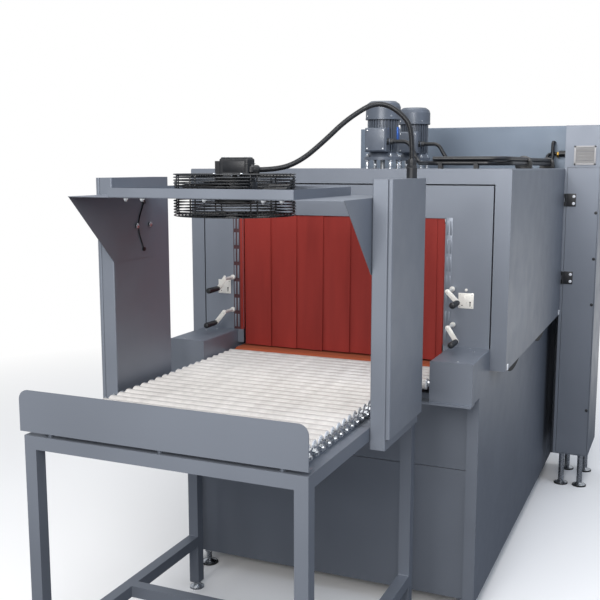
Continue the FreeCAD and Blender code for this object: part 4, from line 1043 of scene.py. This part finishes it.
class TUNNEL_OT_motors(bpy.types.Operator):
    """Cowl bands, plates, lids, glands and stud nuts of the circulation motors"""
    bl_idname = "tunnel.motors"
    bl_label = "Motor fittings"

    def execute(self, context):
        fit = Shape()
        blue = Shape()
        for y in MOTOR_Y:
            self.motor(fit, y)
        blue.block((66.2, MOTOR_Y[0] - 15, 1761), (69.4, MOTOR_Y[0] + 15, 1819), 0.5, 2)
        fit.done("motor_fittings", [motor_enamel, zinc_plate, dark_void, black_moulding], slot="motor_grey")
        blue.done("motor_plates", [blue_plate], slot="motor_grey")
        return {"FINISHED"}

    def motor(self, fit, y):
        base = HOOD_TOP + 37.0
        fit.paint = 0
        fit.lathe([(74.8, 1850), (76.0, 1851), (76.0, 1857), (74.8, 1858)], (0, y, 0), steps=48)
        front = y - 58 - 46
        fit.block((-43, front - 4, base + 38), (43, front + 1, base + 130), 3.0, 3)
        fit.paint = 1
        for dx in (-35, 35):
            for dz in (46, 122):
                fit.screw((dx, front - 4, base + dz), -Y_AXIS, 3.6, 2.2)
        for point, angle in around((0, y, 1864.0), 74.6, 4, math.radians(45)):
            fit.screw(point, (math.cos(angle), math.sin(angle), 0), 3.8, 2.2)
        for a in (-1, 1):
            for b in (-1, 1):
                fit.nut((a * 52, y + b * 52, base + 12), Z_AXIS, 13, 8)
                fit.rod((a * 52, y + b * 52, base + 18), Z_AXIS, 4, 8, 12, 0.6)
                fit.rod((a * 52, y + b * 52, HOOD_TOP + 2.5), Z_AXIS, 7.5, base - HOOD_TOP - 12, 20, 0.5)
                fit.nut((a * 52, y + b * 52, base - 9), Z_AXIS, 16, 8)
                fit.rod((a * 52, y + b * 52, HOOD_TOP + 0.2), Z_AXIS, 13, 2.5, 24, 0.5)
        fit.paint = 3
        gland = Vector((71.5, front + 20, base + 34 + 42))
        fit.nut(gland - X_AXIS * 22, X_AXIS, 26, 9)
        fit.lathe([(8.4, 0), (12.6, 0), (12.6, 10), (9.6, 15), (8.4, 15)], gland - X_AXIS * 10, X_AXIS, 20)
        fit.paint = 0


class TUNNEL_OT_hardware(bpy.types.Operator):
    """Screws, bolts, buffers, hand holds, the base's end, roof conduits, weld beads and feet"""
    bl_idname = "tunnel.hardware"
    bl_label = "Hardware"

    def execute(self, context):
        self.cover_screws()
        self.tray_bolts()
        self.catches()
        self.hand_holds()
        self.base_end()
        self.welds()
        self.feet()
        self.stop_bolts()
        self.cable_clips()
        self.roof_trunk()
        return {"FINISHED"}

    def cable_clips(self):
        """Serrated nuts of the two sensor seats on the left wing."""
        nuts = Shape()
        for y, z in ((-650.0, 1451.0), (-570.0, 1453.0)):
            nuts.lathe([(8.5, -0.8), (8.5, 0.4), (6.0, 1.4), (0, 1.4)], (TABLE_LEFT + 7.0, y, z),
                       X_AXIS, 20)
            for point, angle in around((0, 0, 0), 7.4, 6):
                nuts.rod((TABLE_LEFT + 6.4, y + point.x, z + point.y), X_AXIS, 2.0, 1.8, 10, 0.4)
        nuts.done("sensor_nuts", [zinc_plate], slot="zinc")

    def roof_trunk(self):
        """More conduits on top of the clipped ones, with round saddles over all of them."""
        trunk = Shape()
        z = HOOD_TOP + 39.0
        trunk.sweep([(300, 240, z), (520, 240, z), (545, 245, z), (565, 258, z), (579, 277, z),
                     (586, 305, z), (586, 1385, z)], 8.5, 16)
        trunk.sweep([(560, 620, z), (560, 1385, z)], 8.5, 16)
        for y in (700.0, 1370.0):
            before = set(trunk.bm.verts)
            trunk.rod((573, y - 9, HOOD_TOP + 18), Y_AXIS, 36.0, 18.0, 48, 1.0)
            trunk.trim([v for v in trunk.bm.verts if v not in before], (0, 0, HOOD_TOP + 0.1), (0, 0, -1))
        trunk.done("roof_trunk", [conduit_nylon], slot="black_hose")

    def cover_screws(self):
        screws = Shape()
        for side in (-1, 1):
            for x, y in ((527, 25), (552, 73), (540, 262)):
                for place in (-y, HOOD_LONG + y):
                    screws.screw((side * x, place, BEAM_TOP), Z_AXIS, 4.0, 2.2)
        screws.done("cover_screws", [zinc_plate, dark_void], slot="zinc")

    def tray_bolts(self):
        """Dome nuts under the canopy, where the tray's bolts come through."""
        bolts = Shape()
        low = CANOPY_TOP - 2.0
        for x in (-300, -243, -34, 153, 210):
            for y in (-985, -596):
                bolts.nut((x, y, low), -Z_AXIS, 13, 6)
                bolts.lathe([(6, 0), (5.4, 3), (3.4, 5.4), (0, 6.2)], (x, y, low - 6), -Z_AXIS, 16)
        bolts.done("tray_bolts", [zinc_plate], slot="zinc")

    def catches(self):
        """White buffers at the lower corners of the hood's right side."""
        catches = Shape()
        for y in (26.0, HOOD_LONG - 26.0):
            catches.block((HOOD_HALF, y - 9, 911), (HOOD_HALF + 4.0, y + 9, 934), 1.6, 3)
        catches.done("hood_buffers", [white_cap], slot="zinc")

    def hand_holds(self):
        """Black half-moon plates under the lower edge of the hood's sides: painted shade that stands for the dark
        inside the hand holes there.
        """
        hole_shade = Shape()
        skirt = (FROM_FRAME @ HOOD_LOW).z
        reach, drop = 124.0, 22.0
        radius = (reach * reach + drop * drop) / (2 * drop)
        for side in (-1, 1):
            for y in (157.0, 797.0):
                before = set(hole_shade.bm.verts)
                hole_shade.rod((side * (HOOD_HALF - 3.5), y, skirt - drop + radius), X_AXIS * side, radius,
                           3.0, 128)
                hole_shade.trim([v for v in hole_shade.bm.verts if v not in before], (0, 0, skirt - 0.1), (0, 0, 1))
        hole_shade.done("hand_hole_shade_plates", [dark_void], slot="black_housing")

    def base_end(self):
        """The base's last stretch, which the photograph shows running on beside the cabinet, and
        the plate that closes the gap between them."""
        low, high = span("base_cabinet")
        case_low, case_high = span("control_cabinet")
        rear = case_high.y - 8.0
        end = Shape()
        end.block((low.x, high.y - 0.2, low.z), (high.x, rear, high.z), 1.5)
        end.block((high.x - 2.0, rear - 12.0, low.z), (case_low.x + 0.5, rear - 2.0, 1010.0), 1.0)
        end.done("base_end", [structured_powder_coat], slot="grey_paint")

    def welds(self):
        """Painted fillet beads where the table's tubes meet."""
        beads = Shape()
        low = TABLE_TOP - TABLE_TUBE
        front, rear = TABLE_FRONT, TABLE_REAR
        for outer, side in ((TABLE_LEFT, 1), (TABLE_RIGHT, -1)):
            inner = outer + side * TABLE_TUBE
            beads.sweep([(inner, front + TABLE_TUBE, low + 1), (inner, front + TABLE_TUBE, TABLE_TOP - 1)],
                        1.8, 8)
            for z, y in ((low, front + TABLE_TUBE), (low, rear - TABLE_TUBE),
                         (STRETCHER_LOW, front + TABLE_TUBE),
                         (STRETCHER_TOP, front + TABLE_TUBE), (STRETCHER_LOW, rear - TABLE_TUBE),
                         (STRETCHER_TOP, rear - TABLE_TUBE)):
                beads.sweep([(outer + side * 2, y, z), (inner - side * 2, y, z)], 1.8, 8)
            beads.sweep([(inner, front + 2, low), (inner, front + TABLE_TUBE - 2, low)], 1.8, 8)
        beads.done("weld_beads", [structured_powder_coat], slot="grey_paint")

    def feet(self):
        """Lock nuts of the screw feet, and rubber rims on the larger ones."""
        feet = Shape()
        half = 20.0
        for x in (TABLE_LEFT + half, TABLE_RIGHT - half):
            for y in (TABLE_FRONT + half, TABLE_REAR - half):
                self.foot(feet, x, y, 28.0, 18.0)
        for x in (-BEAM_OUT + 60, BEAM_OUT - 60):
            for y in (-103.0, HOOD_LONG + 103.0):
                self.foot(feet, x, y, 34.0, 50.0)
        low, high = span("control_cabinet")
        for x in (low.x + 40, high.x - 40):
            for y in (1482.0, 1737.0):
                self.foot(feet, x, y, 34.0, 160.0)
        feet.done("foot_trim", [foot_rubber, zinc_plate], slot="zinc")

    def foot(self, feet, x, y, pad, nut_height):
        if pad > 30:
            feet.paint = 0
            feet.lathe([(pad - 3, 0), (pad + 1.5, 0), (pad + 1.5, 5), (pad + 0.2, 7), (pad - 3, 7)], (x, y, 0),
                       steps=40)
        feet.paint = 1
        feet.nut((x, y, nut_height), Z_AXIS, 30 if pad > 30 else 24, 7)

    def stop_bolts(self):
        bolts = Shape()
        for x in (TABLE_LEFT + 80, (TABLE_LEFT + TABLE_RIGHT) / 2, TABLE_RIGHT - 80):
            bolts.screw((x, TABLE_FRONT + 20, 896.8), Z_AXIS, 7, 3.4)
        bolts.done("stop_bolts", [zinc_plate, dark_void], slot="zinc")


class TUNNEL_OT_cabinet(bpy.types.Operator):
    """Case and head box with their roofs at the photograph's height, hinges, locks and vent"""
    bl_idname = "tunnel.cabinet"
    bl_label = "Cabinet fittings"

    LOCKS = (1425.0, 1196.0, 966.0, 420.0)
    CASE_TOP = 1853.0
    HEAD_TOP = 1855.0
    ROOF_DEPTH = 12.0

    def execute(self, context):
        self.lowered("control_cabinet", self.CASE_TOP, structured_powder_coat)
        # The head box takes the grey with painted shade and a painted bluish reflection.
        self.lowered("head_box", self.HEAD_TOP, shade_and_reflection_powder_coat)
        self.hinges()
        self.locks()
        self.vent()
        nut = Shape()
        nut.nut((604, 1475, 1710), X_AXIS, 27, 9)
        nut.done("gland_nut", [brass], slot="zinc")
        return {"FINISHED"}

    def lowered(self, node, top, coat):
        """The node's own shape with its roof at another height."""
        shape = Shape()
        shape.bm.from_mesh(frame["nodes"][node].data)
        bmesh.ops.transform(shape.bm, matrix=FROM_FRAME, verts=shape.bm.verts)
        bmesh.ops.remove_doubles(shape.bm, verts=shape.bm.verts, dist=0.01)
        high = span(node)[1].z
        roof = [v for v in shape.bm.verts if v.co.z > high - self.ROOF_DEPTH]
        bmesh.ops.translate(shape.bm, verts=roof, vec=(0, 0, top - high))
        for face in shape.bm.faces:
            face.material_index = 0
        shape.done(node + "_case", [coat], slot="grey_paint", replaces=[node], smooth=25)

    def hinges(self):
        """Black nylon covers over the door's hinge leaves and knuckles, with white screw caps."""
        pin = pivot("cabinet_door_swing")
        covers, caps = Shape(), Shape()
        for z in (1097.0, 1487.0):
            covers.block((pin.x + 4, DOOR_FACE - 5.2, z - 31.6), (pin.x + 47.8, DOOR_FACE - 0.1, z + 31.6),
                         1.4, 3)
            covers.rod((pin.x, pin.y, z - 10.0), Z_AXIS, 5.75, 20.0, 20)
            for dz in (-17.5, 17.5):
                caps.lathe([(7.4, 0), (7.4, 1.6), (5.6, 3.0), (0, 3.4)],
                           (pin.x + 37.5, DOOR_FACE - 5.1, z + dz), -Y_AXIS, 20)
        covers.done("hinge_covers", [black_moulding], "cabinet_door", "black_housing")
        caps.done("hinge_caps", [white_cap], "cabinet_door", "zinc")

    def locks(self):
        """Flat quarter-turn locks near the door's free edge."""
        edge = span("cabinet_door")[1].x
        locks = Shape()
        for z in self.LOCKS:
            locks.lathe([(0, 2.2), (5.5, 2.2), (7.2, 1.4), (7.6, 0)], (edge - 9, DOOR_FACE, z), -Y_AXIS, 24)
            locks.block((edge - 10.2, DOOR_FACE - 3.0, z - 5.0), (edge - 7.8, DOOR_FACE - 2.0, z + 5.0), 0.3)
        locks.done("door_locks", [black_moulding], "cabinet_door", "black_housing")

    def vent(self):
        """Pale frame and sloping blades over the case's vent."""
        low, high = Vector((694, 0, 1660)), Vector((797, 0, 1753))
        front, rim = DOOR_FACE - 5.0, 8.0
        vent = Shape()
        for x0, x1, z0, z1 in ((low.x, high.x, low.z, low.z + rim), (low.x, high.x, high.z - rim, high.z),
                               (low.x, low.x + rim, low.z, high.z), (high.x - rim, high.x, low.z, high.z)):
            vent.block((x0, front - 1.4, z0), (x1, front - 0.1, z1), 0.5)
        vent.paint = 1
        count = 11
        step = (high.z - low.z - 2 * rim) / count
        for k in range(count):
            place = Matrix.Translation((0, front, low.z + rim + (k + 0.5) * step))
            turn = place @ Matrix.Rotation(-0.5, 4, "X")
            vent.block((low.x + rim, -0.7, -step * 0.52), (high.x - rim, 0.5, step * 0.52), 0.0, 1, turn)
        vent.done("vent_blades", [pale_moulding, vent_moulding], slot="grey_paint")


class TUNNEL_PT_panel(bpy.types.Panel):
    bl_idname = "TUNNEL_PT_panel"
    bl_label = "Shrink tunnel"
    bl_space_type = "VIEW_3D"
    bl_region_type = "UI"
    bl_category = "Tunnel"

    def draw(self, context):
        for name in STEPS:
            self.layout.operator("tunnel." + name)
        for group, keys in (("tunnel_fan", ("ring_pitch", "wire")),
                            ("tunnel_hose", ("diameter", "rib_pitch")),
                            ("tunnel_curtain", ("width", "overlap", "wave")),
                            ("tunnel_stage", ("floor_colour", "lamp_power"))):
            for key in keys:
                self.layout.prop(getattr(context.scene, group), key)


STEPS = ("stage", "finishes", "hose", "fan_guard", "fan_box", "curtains", "end_panels", "levers",
         "rollers", "motors", "hardware", "cabinet")
GROUPS = {"tunnel_fan": TunnelFanSettings, "tunnel_hose": TunnelHoseSettings,
          "tunnel_curtain": TunnelCurtainSettings, "tunnel_stage": TunnelStageSettings}
CLASSES = (TunnelFanSettings, TunnelHoseSettings, TunnelCurtainSettings, TunnelStageSettings,
           TUNNEL_OT_stage, TUNNEL_OT_finishes, TUNNEL_OT_hose, TUNNEL_OT_fan_guard, TUNNEL_OT_fan_box,
           TUNNEL_OT_curtains, TUNNEL_OT_end_panels, TUNNEL_OT_levers, TUNNEL_OT_rollers,
           TUNNEL_OT_motors, TUNNEL_OT_hardware, TUNNEL_OT_cabinet, TUNNEL_PT_panel)


def register():
    for kind in CLASSES:
        bpy.utils.register_class(kind)
    for name, kind in GROUPS.items():
        setattr(bpy.types.Scene, name, PointerProperty(type=kind))


def unregister():
    for name in GROUPS:
        delattr(bpy.types.Scene, name)
    for kind in reversed(CLASSES):
        bpy.utils.unregister_class(kind)


def main():
    register()
    for name in STEPS:
        getattr(bpy.ops.tunnel, name)()


if __name__ == "__main__":
    main()
